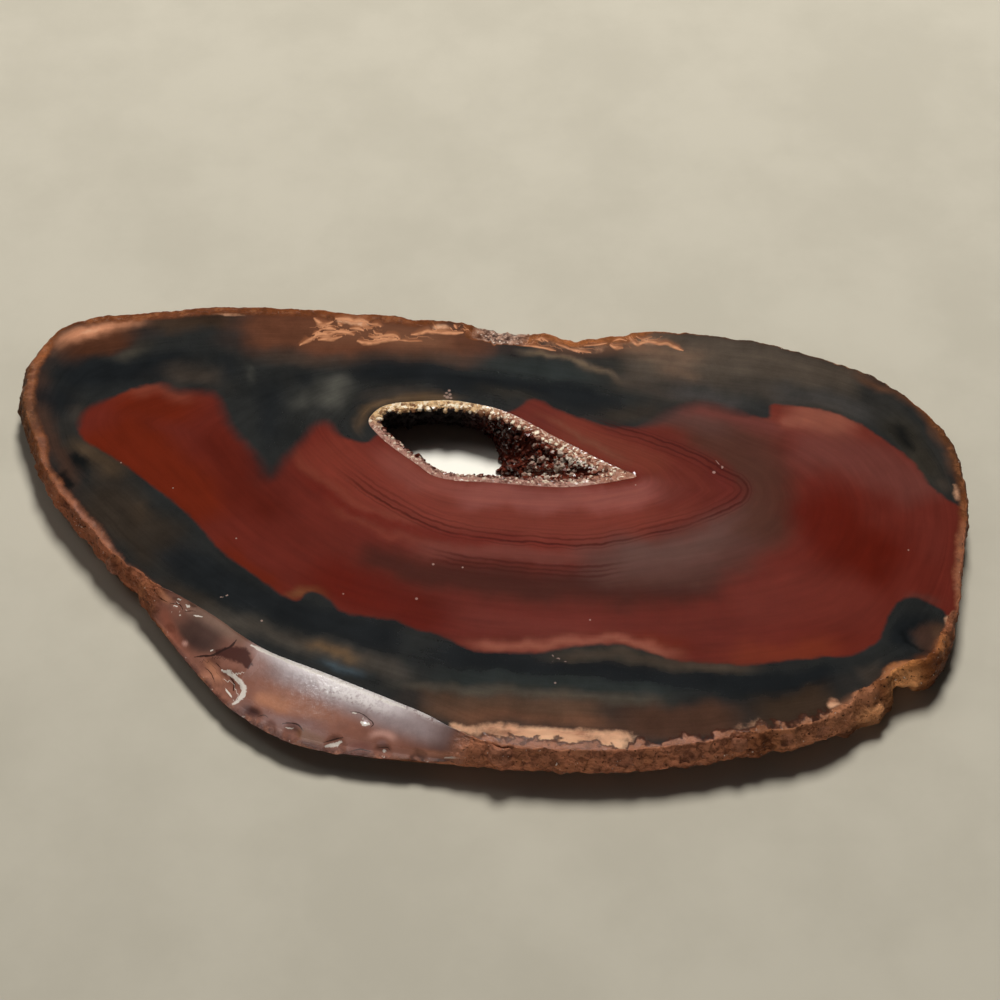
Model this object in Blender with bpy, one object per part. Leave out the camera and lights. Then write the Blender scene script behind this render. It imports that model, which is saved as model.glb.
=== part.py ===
# A polished slice of banded agate, lying flat, with the rough rind left round its rim.
# It has a slanting hollow through it, lined with one crust of small crystals.
# The origin is under the middle of the slice, on the plane it rests on. X is its length, Z its thickness.
import math
import random

import bmesh
import bpy
from mathutils import Vector
from mathutils.geometry import tessellate_polygon

MM = 0.001
THICKNESS = 4.2 * MM
CRUST_FOOT = 0.12 * MM  # the crust ends just above the underside
GAP = 0.41 * MM  # between the crust and the stone it lines
CRUST_WIDTH = 1.0 * MM  # from the stone to the foot of the crystals
CRYSTAL_HEIGHT = 0.34 * MM

GIRDLE = 2.1 * MM  # height of the rind's widest line
UNDERCUT = 1.3  # how far the foot goes back in under that line, in millimetres
WIDE_UNDERCUT = 0.3  # and how much more for each millimetre that the line reaches past 1
NARROW_UNDERCUT = 1.5  # and how much less for each millimetre that the line falls short of the edge
UNDERCUT_SLOPE = 0.2  # the part of the undercut that goes in straight; the rest curves in towards the foot
FACET_REACH = (1.5, 3.5)  # the rind turns into the smooth slanting facet between these reaches
EDGE_WIDTH = 0.22  # the softened edge of the polished face, in millimetres
EDGE_DROP = 0.12
DROP_CHANGE = 0.35  # how much that drop changes round the rim, as a share of it
EDGE_WAVE = 0.16  # how far that edge wanders, in millimetres
EDGE_RIPPLE = 0.07

RIM_STEPS = 250
BROAD_TURNS = (14, 34)  # waves round the rim
FINE_TURNS = (50, 110)
BROAD_LUMPS = 0.5  # the broad waves' share of the rind's lumps
FACET_SMOOTH = 0.8  # how much of the lumps the facet is without
CAVITY_STEPS = 92
CRYSTAL_ROWS = 7
CRYSTAL_SHARE = 0.45  # no crystal is taller than this share of its own width
CRYSTAL_SHIFT = (0.1 * MM, 0.2)  # how far a crystal's foot moves, and the most as a share of its room
TIP_MARGIN = 0.05 * MM  # a crystal's tip stays this far inside the crust's own height
HALVINGS = 12  # how finely the width of the crust is worked out
BACK_LEAST_STEEP = 0.3  # the back of the crust keeps its gap where the wall slants
FACE_LEAST_STEEP = 0.85  # the crystals' side is drawn in less there, so that it has room in the tight end

# The edge of the polished face, going round from the left tip by the near side.
# Each row is x, y, and how far the rind's widest line stands out past that edge, in millimetres.
RIM = [
    (-49.8, 16.4, 0.6),
    (-49.5, 13.2, 0.5),
    (-47.9, 9.6, 0.5),
    (-46.3, 5.8, 0.5),
    (-44.3, 2.4, 0.5),
    (-41.9, -0.7, 0.5),
    (-38.9, -4.5, 0.5),
    (-36.2, -7.3, 0.7),
    (-33.6, -9.3, 1.6),
    (-31.1, -10.7, 3.0),
    (-28.9, -12.1, 4.0),
    (-26.2, -14.0, 5.0),
    (-24.0, -15.8, 5.6),
    (-20.7, -18.0, 6.6),
    (-15.3, -20.4, 7.4),
    (-10.0, -22.9, 6.1),
    (-5.8, -24.9, 4.6),
    (-2.5, -26.9, 2.7),
    (0.4, -28.3, 1.3),
    (4.0, -29.1, 0.9),
    (10.0, -29.3, 0.8),
    (15.0, -29.2, 0.8),
    (20.1, -28.7, 0.8),
    (25.1, -27.8, 0.8),
    (29.2, -27.0, 0.8),
    (32.7, -26.0, 0.7),
    (35.9, -24.7, 0.6),
    (38.4, -23.2, 0.5),
    (39.8, -21.7, 0.3),
    (40.6, -20.6, 0.0),
    (42.0, -20.2, -0.3),
    (43.6, -20.9, -0.4),
    (44.8, -20.7, -0.4),
    (45.7, -19.4, -0.4),
    (46.5, -17.6, -0.3),
    (47.1, -15.4, -0.2),
    (47.9, -12.4, -0.1),
    (48.6, -8.4, 0.0),
    (49.5, -4.4, 0.1),
    (50.2, -1.2, 0.2),
    (50.6, 2.6, 0.2),
    (50.4, 6.0, 0.2),
    (49.8, 9.3, 0.2),
    (48.5, 12.0, 0.2),
    (46.9, 14.1, 0.2),
    (45.0, 16.3, 0.2),
    (42.0, 18.6, 0.2),
    (38.4, 20.5, 0.2),
    (33.3, 22.4, 0.2),
    (28.3, 23.8, 0.2),
    (23.3, 24.6, 0.2),
    (18.5, 24.9, 0.2),
    (15.0, 24.3, 0.2),
    (11.6, 24.1, 0.1),
    (10.3, 23.7, 0.1),
    (7.7, 24.3, 0.2),
    (4.8, 24.9, 0.2),
    (1.7, 25.6, 0.2),
    (-2.7, 26.2, 0.2),
    (-8.7, 27.0, 0.2),
    (-15.0, 27.8, 0.2),
    (-22.7, 28.5, 0.2),
    (-29.3, 28.6, 0.2),
    (-34.0, 28.2, 0.2),
    (-40.0, 27.5, 0.3),
    (-44.0, 26.9, 0.3),
    (-46.4, 25.8, 0.4),
    (-47.8, 24.3, 0.5),
    (-49.1, 21.9, 0.6),
    (-49.7, 19.3, 0.6),
]

# The wall of the hollow, going round the same way as the rim from its left end.
# Each row is x, y at the polished face and x, y at the underside, in millimetres.
CAVITY = [
    (-12.3, 11.9, -13.0, 13.1),
    (-11.2, 10.0, -12.0, 10.8),
    (-9.3, 8.0, -9.9, 8.3),
    (-7.0, 6.0, -7.4, 6.0),
    (-5.3, 4.5, -5.7, 4.5),
    (-3.0, 3.8, -3.6, 3.8),
    (0.0, 3.6, -1.6, 3.6),
    (3.0, 3.3, 0.4, 3.6),
    (6.0, 3.0, 2.2, 3.7),
    (9.0, 2.9, 3.8, 4.0),
    (12.0, 3.3, 5.0, 4.5),
    (14.4, 3.8, 5.8, 5.1),
    (16.2, 4.4, 6.2, 6.0),
    (14.2, 5.6, 5.9, 7.0),
    (12.2, 6.8, 5.3, 8.0),
    (10.0, 8.3, 4.6, 9.2),
    (8.0, 9.6, 3.9, 10.3),
    (6.0, 11.0, 3.2, 11.5),
    (4.0, 12.4, 2.4, 12.8),
    (2.0, 13.5, 1.4, 14.0),
    (0.0, 14.2, 0.0, 15.0),
    (-3.5, 14.9, -3.2, 16.0),
    (-6.5, 14.8, -6.4, 16.0),
    (-9.5, 14.5, -9.8, 15.6),
    (-11.3, 13.7, -12.0, 14.8),
]
SPINE = (Vector((-7.5, 10.4, 0)) * MM, Vector((1.5, 8.3, 0)) * MM)  # the middle of the hollow
SPINE_LEAN = Vector((5.5, -1.6, 0)) * MM  # how far the right end of that middle leans at the polished face

# The rings down the rind: 1 at the polished edge, 0 at the widest line and -1 at the foot,
# and the size of the lumps there in millimetres.
RIND_ROWS = [
    (1.0, 0.05),
    (0.7, 0.18),
    (0.35, 0.24),
    (0.0, 0.24),
    (-0.55, 0.20),
    (-1.0, 0.10),
]

# Broken places along the rim.
# Each row is x, y, the reach along the rim, the width on the polished face and the drop, in millimetres.
CHIPS = [
    (2.2, 25.4, 4.0, 2.3, 0.75),
    (-30.4, -11.0, 2.6, 1.1, 0.45),
    (-24.2, -15.6, 2.0, 0.6, 0.55),
    (43.2, -20.6, 2.4, 1.1, 0.5),
    (35.2, -25.0, 1.6, 0.8, 0.4),
    (25.4, -27.7, 1.2, 0.6, 0.35),
    (10.6, 23.8, 1.6, 0.9, 0.4),
    (47.3, -14.6, 1.6, 0.7, 0.35),
]


def loop_point(rows, where):
    """A point on the smooth closed curve through the rows; where runs from 0 to the number of rows."""
    count = len(rows)
    start = int(where) % count
    t = where - int(where)
    a, b, c, d = (rows[(start + k) % count] for k in (-1, 0, 1, 2))
    return [
        0.5 * (2 * q + (r - p) * t + (2 * p - 5 * q + 4 * r - s) * t**2 + (3 * q - p - 3 * r + s) * t**3)
        for p, q, r, s in zip(a, b, c, d)
    ]


def even_loop(rows, steps):
    """Points at even distances along the curve, with every column of the rows carried along."""
    fine = 24 * len(rows)
    points = [loop_point(rows, len(rows) * k / fine) for k in range(fine)]
    lengths = [0.0]
    for k in range(fine):
        p = points[k]
        q = points[(k + 1) % fine]
        lengths.append(lengths[-1] + math.hypot(q[0] - p[0], q[1] - p[1]))
    result = []
    k = 0
    for step in range(steps):
        target = lengths[-1] * step / steps
        while lengths[k + 1] < target:
            k += 1
        t = (target - lengths[k]) / (lengths[k + 1] - lengths[k])
        p = points[k]
        q = points[(k + 1) % fine]
        result.append([u + (v - u) * t for u, v in zip(p, q)])
    return result


def outward(loop, k):
    """The direction away from a loop that runs counterclockwise."""
    p = loop[k - 2]
    q = loop[(k + 2) % len(loop)]
    return Vector((q[1] - p[1], p[0] - q[0], 0)).normalized()


def ripple(rng, longest, shortest, steps):
    """A seeded wave that closes on itself, between about -1 and 1."""
    waves = []
    for _ in range(7):
        turns = rng.randint(longest, shortest)
        waves.append((turns, rng.uniform(0, 2 * math.pi), rng.uniform(0.5, 1.0)))
    total = sum(w[2] for w in waves) * 0.6
    return [
        sum(h * math.sin(2 * math.pi * turns * k / steps + turn) for turns, turn, h in waves) / total
        for k in range(steps)
    ]


def chip_at(x, y):
    """How wide and how deep the rim is broken near x, y."""
    width = EDGE_WIDTH
    drop = EDGE_DROP
    for cx, cy, reach, chip_width, chip_drop in CHIPS:
        near = math.exp(-((math.hypot(x - cx, y - cy) / reach) ** 4))
        width = max(width, chip_width * near)
        drop = max(drop, chip_drop * near)
    return width, drop


def new_piece(name, mesh_bm, colour, roughness):
    """Turns the mesh into a named object with its own material."""
    bmesh.ops.recalc_face_normals(mesh_bm, faces=mesh_bm.faces)
    mesh = bpy.data.meshes.new(name)
    mesh_bm.to_mesh(mesh)
    mesh_bm.free()
    piece = bpy.data.objects.new(name, mesh)
    bpy.context.scene.collection.objects.link(piece)
    material = bpy.data.materials.new(name)
    material.use_nodes = True
    shader = material.node_tree.nodes["Principled BSDF"]
    shader.inputs["Base Color"].default_value = (*colour, 1)
    shader.inputs["Roughness"].default_value = roughness
    mesh.materials.append(material)
    return piece


def strip(bm, upper, lower):
    """Joins two rings of the same length with triangles."""
    count = len(upper)
    for k in range(count):
        n = (k + 1) % count
        if k % 2:
            bm.faces.new((upper[k], upper[n], lower[n]))
            bm.faces.new((upper[k], lower[n], lower[k]))
        else:
            bm.faces.new((upper[k], upper[n], lower[k]))
            bm.faces.new((upper[n], lower[n], lower[k]))


def flat_face(bm, outer, inner):
    """Fills the flat ground between an outer ring and a ring inside it."""
    hole = list(reversed(inner))
    points = list(outer) + hole
    for a, b, c in tessellate_polygon([[v.co for v in outer], [v.co for v in hole]]):
        bm.faces.new((points[a], points[b], points[c]))


def rind_reach(reach, level, smooth):
    """How far the rind stands out past the polished edge, at a level of RIND_ROWS, in millimetres."""
    if level >= 0:
        rounded = math.sin(math.pi / 2 * (1 - level))
        return reach * (smooth * (1 - level) + (1 - smooth) * rounded)
    under = UNDERCUT + WIDE_UNDERCUT * max(0.0, reach - 1) + NARROW_UNDERCUT * min(0.0, reach)
    return reach - under * (UNDERCUT_SLOPE * -level + (1 - UNDERCUT_SLOPE) * level**2)


def rind_rings():
    """Rings of points down the rind, from the polished face's edge by the widest line to the foot."""
    rng = random.Random(41)
    loop = even_loop(RIM, RIM_STEPS)
    broad = ripple(rng, *BROAD_TURNS, RIM_STEPS)
    fine = [ripple(rng, *FINE_TURNS, RIM_STEPS) for _ in RIND_ROWS]
    rings = [[] for _ in range(len(RIND_ROWS) + 1)]
    for k in range(RIM_STEPS):
        x, y, reach = loop[k]
        out = outward(loop, k)
        width, drop = chip_at(x, y)
        edge_height = THICKNESS - drop * (1 + DROP_CHANGE * fine[0][k]) * MM
        edge = Vector((x, y, 0)) + out * (EDGE_WAVE * broad[k] + EDGE_RIPPLE * fine[1][k])
        rings[0].append((edge - out * width) * MM + Vector((0, 0, THICKNESS)))
        smooth = min(1.0, max(0.0, (reach - FACET_REACH[0]) / (FACET_REACH[1] - FACET_REACH[0])))
        for row, (level, lump) in enumerate(RIND_ROWS):
            if level > 0:
                lump *= 1 - FACET_SMOOTH * smooth
            away = rind_reach(reach, level, smooth)
            away += lump * (BROAD_LUMPS * broad[(k + 9 * row) % RIM_STEPS] + fine[row][k])
            height = GIRDLE + (edge_height - GIRDLE) * level if level >= 0 else GIRDLE * (1 + level)
            rings[row + 1].append((edge + out * away) * MM + Vector((0, 0, height)))
    return rings


def cavity_rings():
    """The wall of the hollow at three heights, and its points again as pairs."""
    loop = even_loop(CAVITY, CAVITY_STEPS)
    rings = []
    for down in (0.0, 0.5, 1.0):
        rings.append([cavity_wall(row, down) for row in loop])
    return loop, rings


def cavity_wall(row, down):
    """A point of the hollow's wall, down from the polished face by a share of the thickness."""
    top = Vector((row[0], row[1], 0))
    foot = Vector((row[2], row[3], 0))
    return top.lerp(foot, down) * MM + Vector((0, 0, THICKNESS * (1 - down)))


def ring_distance(point, ring):
    """How far a point is from a closed ring, seen from above."""
    least = math.inf
    for a, b in zip(ring, ring[1:] + ring[:1]):
        edge_x = b.x - a.x
        edge_y = b.y - a.y
        t = ((point.x - a.x) * edge_x + (point.y - a.y) * edge_y) / (edge_x**2 + edge_y**2)
        t = min(max(t, 0), 1)
        least = min(least, math.hypot(point.x - a.x - edge_x * t, point.y - a.y - edge_y * t))
    return least


def steepness(loop, k):
    """The level part of the wall's unit normal: 1 where the wall is upright, less where it slants."""
    total = 0
    for n in range(k - 3, k + 4):
        side = cavity_wall(loop[(n + 1) % len(loop)], 0.5) - cavity_wall(loop[(n - 1) % len(loop)], 0.5)
        slope = cavity_wall(loop[n % len(loop)], 0.0) - cavity_wall(loop[n % len(loop)], 1.0)
        normal = side.cross(slope).normalized()
        total += math.hypot(normal.x, normal.y)
    return total / 7


def inner_ring(loop, down, width, least_steep):
    """The ring that stands off the hollow's wall by a width, towards the middle of the hollow."""
    wall = [cavity_wall(row, down) for row in loop]
    near_end = SPINE[0]
    far_end = SPINE[1] + SPINE_LEAN * (1 - down)
    along = (far_end - near_end).normalized()
    ring = []
    for k, foot in enumerate(wall):
        flat = Vector((foot.x, foot.y, 0))
        at = min(max((flat - near_end).dot(along), 0), (far_end - near_end).length)
        towards = near_end + along * at - flat
        wanted = width / max(steepness(loop, k), least_steep)
        low = 0.0
        high = 1.0
        for _ in range(HALVINGS):
            share = (low + high) / 2
            if ring_distance(flat + towards * share, wall) < wanted:
                low = share
            else:
                high = share
        ring.append(foot + towards * high)
    return ring


def build_slice():
    """The stone itself: flat faces, rind and the wall of the hollow."""
    bm = bmesh.new()
    rings = [[bm.verts.new(p) for p in ring] for ring in rind_rings()]
    for upper, lower in zip(rings, rings[1:]):
        strip(bm, upper, lower)
    hollow = [[bm.verts.new(p) for p in ring] for ring in cavity_rings()[1]]
    for upper, lower in zip(hollow, hollow[1:]):
        strip(bm, upper, lower)
    flat_face(bm, rings[0], hollow[0])
    flat_face(bm, rings[-1], hollow[-1])
    return bm


def build_crust():
    """The crystals: one closed shell round the hollow, its inside set with four-sided points."""
    rng = random.Random(7)
    loop = even_loop(CAVITY, CAVITY_STEPS)
    lowest = 1 - CRUST_FOOT / THICKNESS
    bm = bmesh.new()
    back = []
    for down in (0.0, lowest / 2, lowest):
        back.append([bm.verts.new(p) for p in inner_ring(loop, down, GAP, BACK_LEAST_STEEP)])
    face = []
    for row in range(CRYSTAL_ROWS + 1):
        down = lowest * row / CRYSTAL_ROWS
        ring = inner_ring(loop, down, CRUST_WIDTH, FACE_LEAST_STEEP)
        face.append([bm.verts.new(jitter(rng, ring, k, row)) for k in range(CAVITY_STEPS)])
    strip(bm, back[0], back[1])
    strip(bm, back[1], back[2])
    strip(bm, back[0], face[0])
    strip(bm, back[-1], face[-1])
    for row in range(CRYSTAL_ROWS):
        for k in range(CAVITY_STEPS):
            crystal(bm, rng, face, row, k)
    return bm


def jitter(rng, ring, k, row):
    """Moves a crystal's foot a little, but keeps the first and the last ring level."""
    room = (ring[(k + 1) % len(ring)] - ring[k - 1]).length / 2
    reach = min(CRYSTAL_SHIFT[0], CRYSTAL_SHIFT[1] * room)
    rise = rng.uniform(-reach, reach) if 0 < row < CRYSTAL_ROWS else 0
    return ring[k] + Vector((rng.uniform(-reach, reach), rng.uniform(-reach, reach), rise))


def crystal(bm, rng, face, row, k):
    """One pointed crystal on the square between two rings."""
    n = (k + 1) % CAVITY_STEPS
    corners = (face[row][k], face[row][n], face[row + 1][n], face[row + 1][k])
    middle = sum((v.co for v in corners), Vector()) / 4
    normal = (corners[0].co - corners[2].co).cross(corners[1].co - corners[3].co).normalized()
    side = (corners[1].co - corners[0].co).length
    height = min(CRYSTAL_HEIGHT, CRYSTAL_SHARE * side) * rng.uniform(0.3, 1.0)
    tip = middle - normal * height
    tip.z = min(max(tip.z, CRUST_FOOT + TIP_MARGIN), THICKNESS - TIP_MARGIN)
    tip = bm.verts.new(tip)
    for a, b in zip(corners, corners[1:] + corners[:1]):
        bm.faces.new((a, b, tip))


def settle(pieces):
    """Moves all the pieces alike, so that the middle of the slice is over the origin."""
    points = [v.co for v in pieces[0].data.vertices]
    middle_x = (min(p.x for p in points) + max(p.x for p in points)) / 2
    middle_y = (min(p.y for p in points) + max(p.y for p in points)) / 2
    for piece in pieces:
        for vertex in piece.data.vertices:
            vertex.co.x -= middle_x
            vertex.co.y -= middle_y


for old in list(bpy.data.objects):
    bpy.data.objects.remove(old)

slice_piece = new_piece("agate_slice", build_slice(), (0.16, 0.035, 0.025), 0.25)
crust_piece = new_piece("crystal_crust", build_crust(), (0.45, 0.33, 0.26), 0.35)
settle([slice_piece, crust_piece])
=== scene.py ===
import math
import random

import bpy
import numpy as np
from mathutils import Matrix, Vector, noise
from mathutils.geometry import delaunay_2d_cdt


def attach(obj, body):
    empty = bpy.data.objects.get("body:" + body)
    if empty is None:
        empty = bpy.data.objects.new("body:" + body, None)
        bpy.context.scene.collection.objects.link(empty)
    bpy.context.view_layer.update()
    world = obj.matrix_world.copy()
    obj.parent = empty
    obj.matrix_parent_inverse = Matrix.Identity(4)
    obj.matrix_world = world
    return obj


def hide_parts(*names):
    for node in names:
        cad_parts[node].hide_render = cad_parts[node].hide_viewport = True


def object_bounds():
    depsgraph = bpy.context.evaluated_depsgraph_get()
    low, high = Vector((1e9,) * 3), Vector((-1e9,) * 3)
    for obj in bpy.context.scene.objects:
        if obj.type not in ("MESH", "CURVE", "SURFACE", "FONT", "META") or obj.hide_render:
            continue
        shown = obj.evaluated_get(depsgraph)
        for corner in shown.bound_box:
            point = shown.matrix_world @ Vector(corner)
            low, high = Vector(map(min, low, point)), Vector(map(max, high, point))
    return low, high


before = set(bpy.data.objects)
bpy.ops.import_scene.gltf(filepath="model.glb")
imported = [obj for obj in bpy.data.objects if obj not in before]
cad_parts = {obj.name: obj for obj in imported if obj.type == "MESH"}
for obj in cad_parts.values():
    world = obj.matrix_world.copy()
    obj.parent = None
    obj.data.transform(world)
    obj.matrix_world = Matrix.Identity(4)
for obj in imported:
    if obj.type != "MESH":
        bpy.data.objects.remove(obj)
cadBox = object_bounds()
mm = 0.001
farAway = 1e9
mostAcross = 9.0        # half widths from a drawn line, past which they aren't told apart

slab = {
    "thickness": 4.2,
    "rimSteps": 1100,       # points round the rim
    "upperRows": 28,        # rows from the polished face down to the rind's widest line
    "lowerRows": 8,         # rows from there to the foot
    "girdle": 2.1,          # height of the rind's widest line
    "undercut": 1.3,        # how far the foot goes back in under it
    "wideUndercut": 0.3,    # and how much more for each millimetre that the line reaches past 1
    "narrowUndercut": 1.5,  # and how much less for each millimetre that it falls short of the edge
    "facetBulge": 0.25,     # how far the slanting facet is from flat
    "hollowSteps": 260,     # points round the hollow
    "topSpacing": 0.42,     # between points of the polished face
    "edgeSpacing": 0.25,    # between its points near the rim
    "edgeZone": 3.0,
    "ribbonSpacing": 0.20,  # between its points under the peach ribbons
    "underSpacing": 1.2,
    "edgeWidth": 0.22,      # the softened edge of the polished face
    "edgeDrop": 0.14,
    # the shares of both at each ring of points over the edge
    "edgeCurve": ((0.0, 0.0), (0.3, 0.05), (0.56, 0.22), (0.8, 0.52), (1.0, 1.0)),
    "slant": 0.781,         # how much lower a point appears, for each millimetre under the polished face
    "mostDrop": 1.9,        # of the softened edge
    "rindRough": 0.30,      # how far the rind's lumps stand out
    "facetStart": (1.5, 3.4),     # reaches between which the rind's shape turns into the facet's
    "facetFace": (1.8, 3.0),      # and between which its look does
    "facetCalm": 0.9,             # how much less the edge wavers there
    "chipSway": (0.9, 40.0, 0.05),  # unevenness of the shell-shaped chips: size, seed, reach
    "bend": (4.0, 0.7),           # the waver that bends the washes: size, reach
    "slightBend": 0.3,            # the share of it that bends the finer marks
    "sharpAngle": 50,             # degrees
    "middle": (0.0859, -0.6302),  # of the tables below, as they are set over the origin
}
# the rind's natural lumps and wavers: size, seed, reach
rindSway = {
    "edgeFine": (1.5, 3.0, 0.16),
    "edgeBroad": (5.0, 8.0, 0.2),
    "edgeWidth": (1.1, 21.0, 0.35),
    "edgeDrop": (0.9, 33.0, 0.45),
    "brokenGround": (0.45, 55.0, 1.0),
    "bigLumps": (1.7, 12.0, 0.85),
    "smallLumps": (0.55, 70.0, 0.42),
}

# the edge of the polished face from the left tip, round by the near side:
# x, y, reach of the rind's widest line
rimRows = [
    (-49.8, 16.4, 0.6), (-49.5, 13.2, 0.5), (-47.9, 9.6, 0.5), (-46.3, 5.8, 0.5), (-44.3, 2.4, 0.5),
    (-41.9, -0.7, 0.5), (-38.9, -4.5, 0.5), (-36.2, -7.3, 0.7), (-33.6, -9.3, 1.6), (-31.1, -10.7, 3),
    (-28.9, -12.1, 4), (-26.2, -14, 5), (-24, -15.8, 5.6), (-20.7, -18, 6.6), (-15.3, -20.4, 7.4),
    (-10, -22.9, 6.1), (-5.8, -24.9, 4.6), (-2.5, -26.9, 2.7), (0.4, -28.3, 1.3), (4, -29.1, 0.9),
    (10, -29.3, 0.8), (15, -29.2, 0.8), (20.1, -28.7, 0.8), (25.1, -27.8, 0.8), (29.2, -27, 0.8),
    (32.7, -26, 0.7), (34.8, -25, 0.7), (36.5, -23.7, 0.8), (38.3, -22.9, 0.8), (39.6, -21.9, 0.8),
    (40.3, -20.8, 0.5), (40.9, -20.1, 0.2), (42, -19.9, 0.2), (43.4, -19.7, 0.2), (44.5, -19.1, 0.3),
    (45.5, -17.7, 0.4), (46.1, -16.5, 0.4), (46.9, -15, 0.2), (47.9, -12.4, 0), (48.6, -8.4, 0),
    (49.5, -4.4, 0.1), (50.2, -1.2, 0.2), (50.6, 2.6, 0.2), (50.4, 6, 0.2), (49.8, 9.3, 0.2), (48.5, 12, 0.2),
    (46.9, 14.1, 0.2), (45, 16.3, 0.2), (42, 18.6, 0.2), (38.4, 20.5, 0.2), (33.3, 22.4, 0.2),
    (28.3, 23.8, 0.2), (23.3, 24.6, 0.2), (18.9, 24.9, 0.2), (16.8, 24.8, 0.2), (15.4, 24.35, 0.2),
    (12.6, 24.1, 0.1), (11, 24.05, 0.1), (10.25, 23.55, 0.1), (9.3, 23.9, 0.1), (7.2, 24.45, 0.2),
    (4.8, 24.9, 0.2), (1.7, 25.5, 0.2), (-1.2, 26, 0.2), (-3.4, 26.4, 0.2), (-5.6, 26.6, 0.2),
    (-7.4, 26.8, 0.2), (-8.4, 26.75, 0.2), (-9, 27.1, 0.2), (-11, 27.35, 0.2), (-15, 27.8, 0.2),
    (-22.7, 28.5, 0.2), (-29.3, 28.6, 0.2), (-34, 28.2, 0.2), (-40, 27.5, 0.3), (-44, 26.9, 0.3),
    (-46.4, 25.8, 0.4), (-47.8, 24.3, 0.5), (-49.1, 21.9, 0.6), (-49.7, 19.3, 0.6),
]

# the wall of the hollow, round the same way: x, y at the polished face, x, y at the underside
hollowRows = [
    (-12.3, 11.9, -13, 13.1), (-11.2, 10, -12, 10.8), (-9.3, 8, -9.9, 8.3), (-7, 6, -7.4, 6),
    (-5.3, 4.5, -5.7, 4.5), (-3, 3.8, -3.6, 3.8), (0, 3.6, -1.6, 3.6), (3, 3.3, 0.4, 3.6), (6, 3, 2.2, 3.7),
    (9, 2.9, 3.8, 4), (12, 3.3, 5, 4.5), (14.4, 3.8, 5.8, 5.1), (16.2, 4.4, 6.2, 6), (14.2, 5.6, 5.9, 7),
    (12.2, 6.8, 5.3, 8), (10, 8.3, 4.6, 9.2), (8, 9.6, 3.9, 10.3), (6, 11, 3.2, 11.5), (4, 12.4, 2.4, 12.8),
    (2, 13.5, 1.4, 14), (0, 14.2, 0, 15), (-3.5, 14.9, -3.2, 16), (-6.5, 14.8, -6.4, 16),
    (-9.5, 14.5, -9.8, 15.6), (-11.3, 13.7, -12, 14.8),
]

# broken places along the rim: x, y, reach along the rim, width on the polished face, drop, roughness
rimBreaks = [
    (2.2, 25.4, 4, 2.3, 0.75, 0.3),
    (38.4, -22.6, 2.4, 1.1, 1.1, 0.1),
    (43.6, -19.4, 2.6, 1, 1.3, 0.1),
    (46.4, -16.4, 1.8, 0.8, 0.8, 0.12),
    (34.8, -24.9, 1.2, 0.8, 0.35, 0.1),
    (25.4, -27.7, 1.6, 0.6, 0.35, 0.16),
    (10.6, 23.8, 2.6, 1, 0.4, 0.16),
    (47.2, -14.2, 1.4, 0.7, 0.35, 0.12),
]
# where the rind spreads outwards down to its foot
flaredRim = [
    ([(35.6, -24.3), (36.8, -23.5), (38.3, -22.9), (39.6, -21.9), (40.3, -21)], 0.7, 0.8, 1),
    ([(43.6, -19.7), (44.5, -19.1), (45.5, -17.7), (46.3, -16.1), (47, -14.8)], 0.7, 0.8, 0.9),
]

# shell-shaped chips in the facet and the rind, as seen slantwise from the near side: x, y, radius, depth
shellChips = [
    (-25.2, -22, 1.7, 0.45), (-26.9, -20, 1.2, 0.3), (-22.4, -25.7, 1, 0.3), (-18.5, -27.5, 0.9, 0.3),
    (-14.2, -29.1, 1.1, 0.36), (-11.4, -26.3, 0.7, 0.08), (-9.4, -29.6, 0.9, 0.28), (-31.4, -15.6, 0.8, 0.22),
    (-29.4, -12.4, 0.7, 0.16), (-30.8, -11.9, 0.6, 0.14), (-6.2, -30.4, 1, 0.22), (-20.6, -27, 0.7, 0.2),
    (24.8, -29.4, 0.7, 0.26), (33.2, -27.5, 0.8, 0.26), (1.2, -30.6, 0.8, 0.24), (13.8, -30.6, 0.9, 0.24),
    (19.6, -30, 0.7, 0.22), (29.4, -28.3, 0.7, 0.22), (-38.2, -8.4, 0.8, 0.3), (-43.6, 0.6, 0.7, 0.24),
]


def curveAt(rows, t):
    # a point between the middle two of four rows, on the smooth curve through them
    return [0.5 * (2 * q + (r - p) * t + (2 * p - 5 * q + 4 * r - s) * t**2 + (3 * q - p - 3 * r + s) * t**3)
            for p, q, r, s in zip(*rows)]


def loopPoint(rows, where):
    # a point on the smooth closed curve through the rows
    start = int(where)
    return curveAt([rows[(start + k) % len(rows)] for k in (-1, 0, 1, 2)], where - start)


def evenLoop(rows, steps):
    # points at even distances along that curve, all columns carried along
    fine = 24 * len(rows)
    points = np.array([loopPoint(rows, len(rows) * k / fine) for k in range(fine + 1)])
    lengths = np.concatenate([[0], np.cumsum(np.hypot(*np.diff(points[:, :2], axis=0).T))])
    wanted = np.arange(steps) * lengths[-1] / steps
    return np.stack([np.interp(wanted, lengths, points[:, c]) for c in range(points.shape[1])], 1)


def openCurve(points, perSpan=5):
    # a smooth open curve through the points
    rows = [tuple(2 * a - b for a, b in zip(points[0], points[1]))] + list(points)
    rows.append(tuple(2 * a - b for a, b in zip(points[-1], points[-2])))
    curve = []
    for k in range(1, len(rows) - 2):
        curve += [curveAt(rows[k - 1:k + 3], step / perSpan) for step in range(perSpan)]
    curve.append(list(points[-1]))
    return np.array(curve)


def nearOnPiece(x, y, a, b):
    # where between a and b each point is nearest, 0 to 1, and the square of how far off it is
    ex, ey = b[0] - a[0], b[1] - a[1]
    t = np.clip(((x - a[0]) * ex + (y - a[1]) * ey) / (ex * ex + ey * ey + 1e-12), 0, 1)
    return t, (x - a[0] - ex * t) ** 2 + (y - a[1] - ey * t) ** 2


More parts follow.
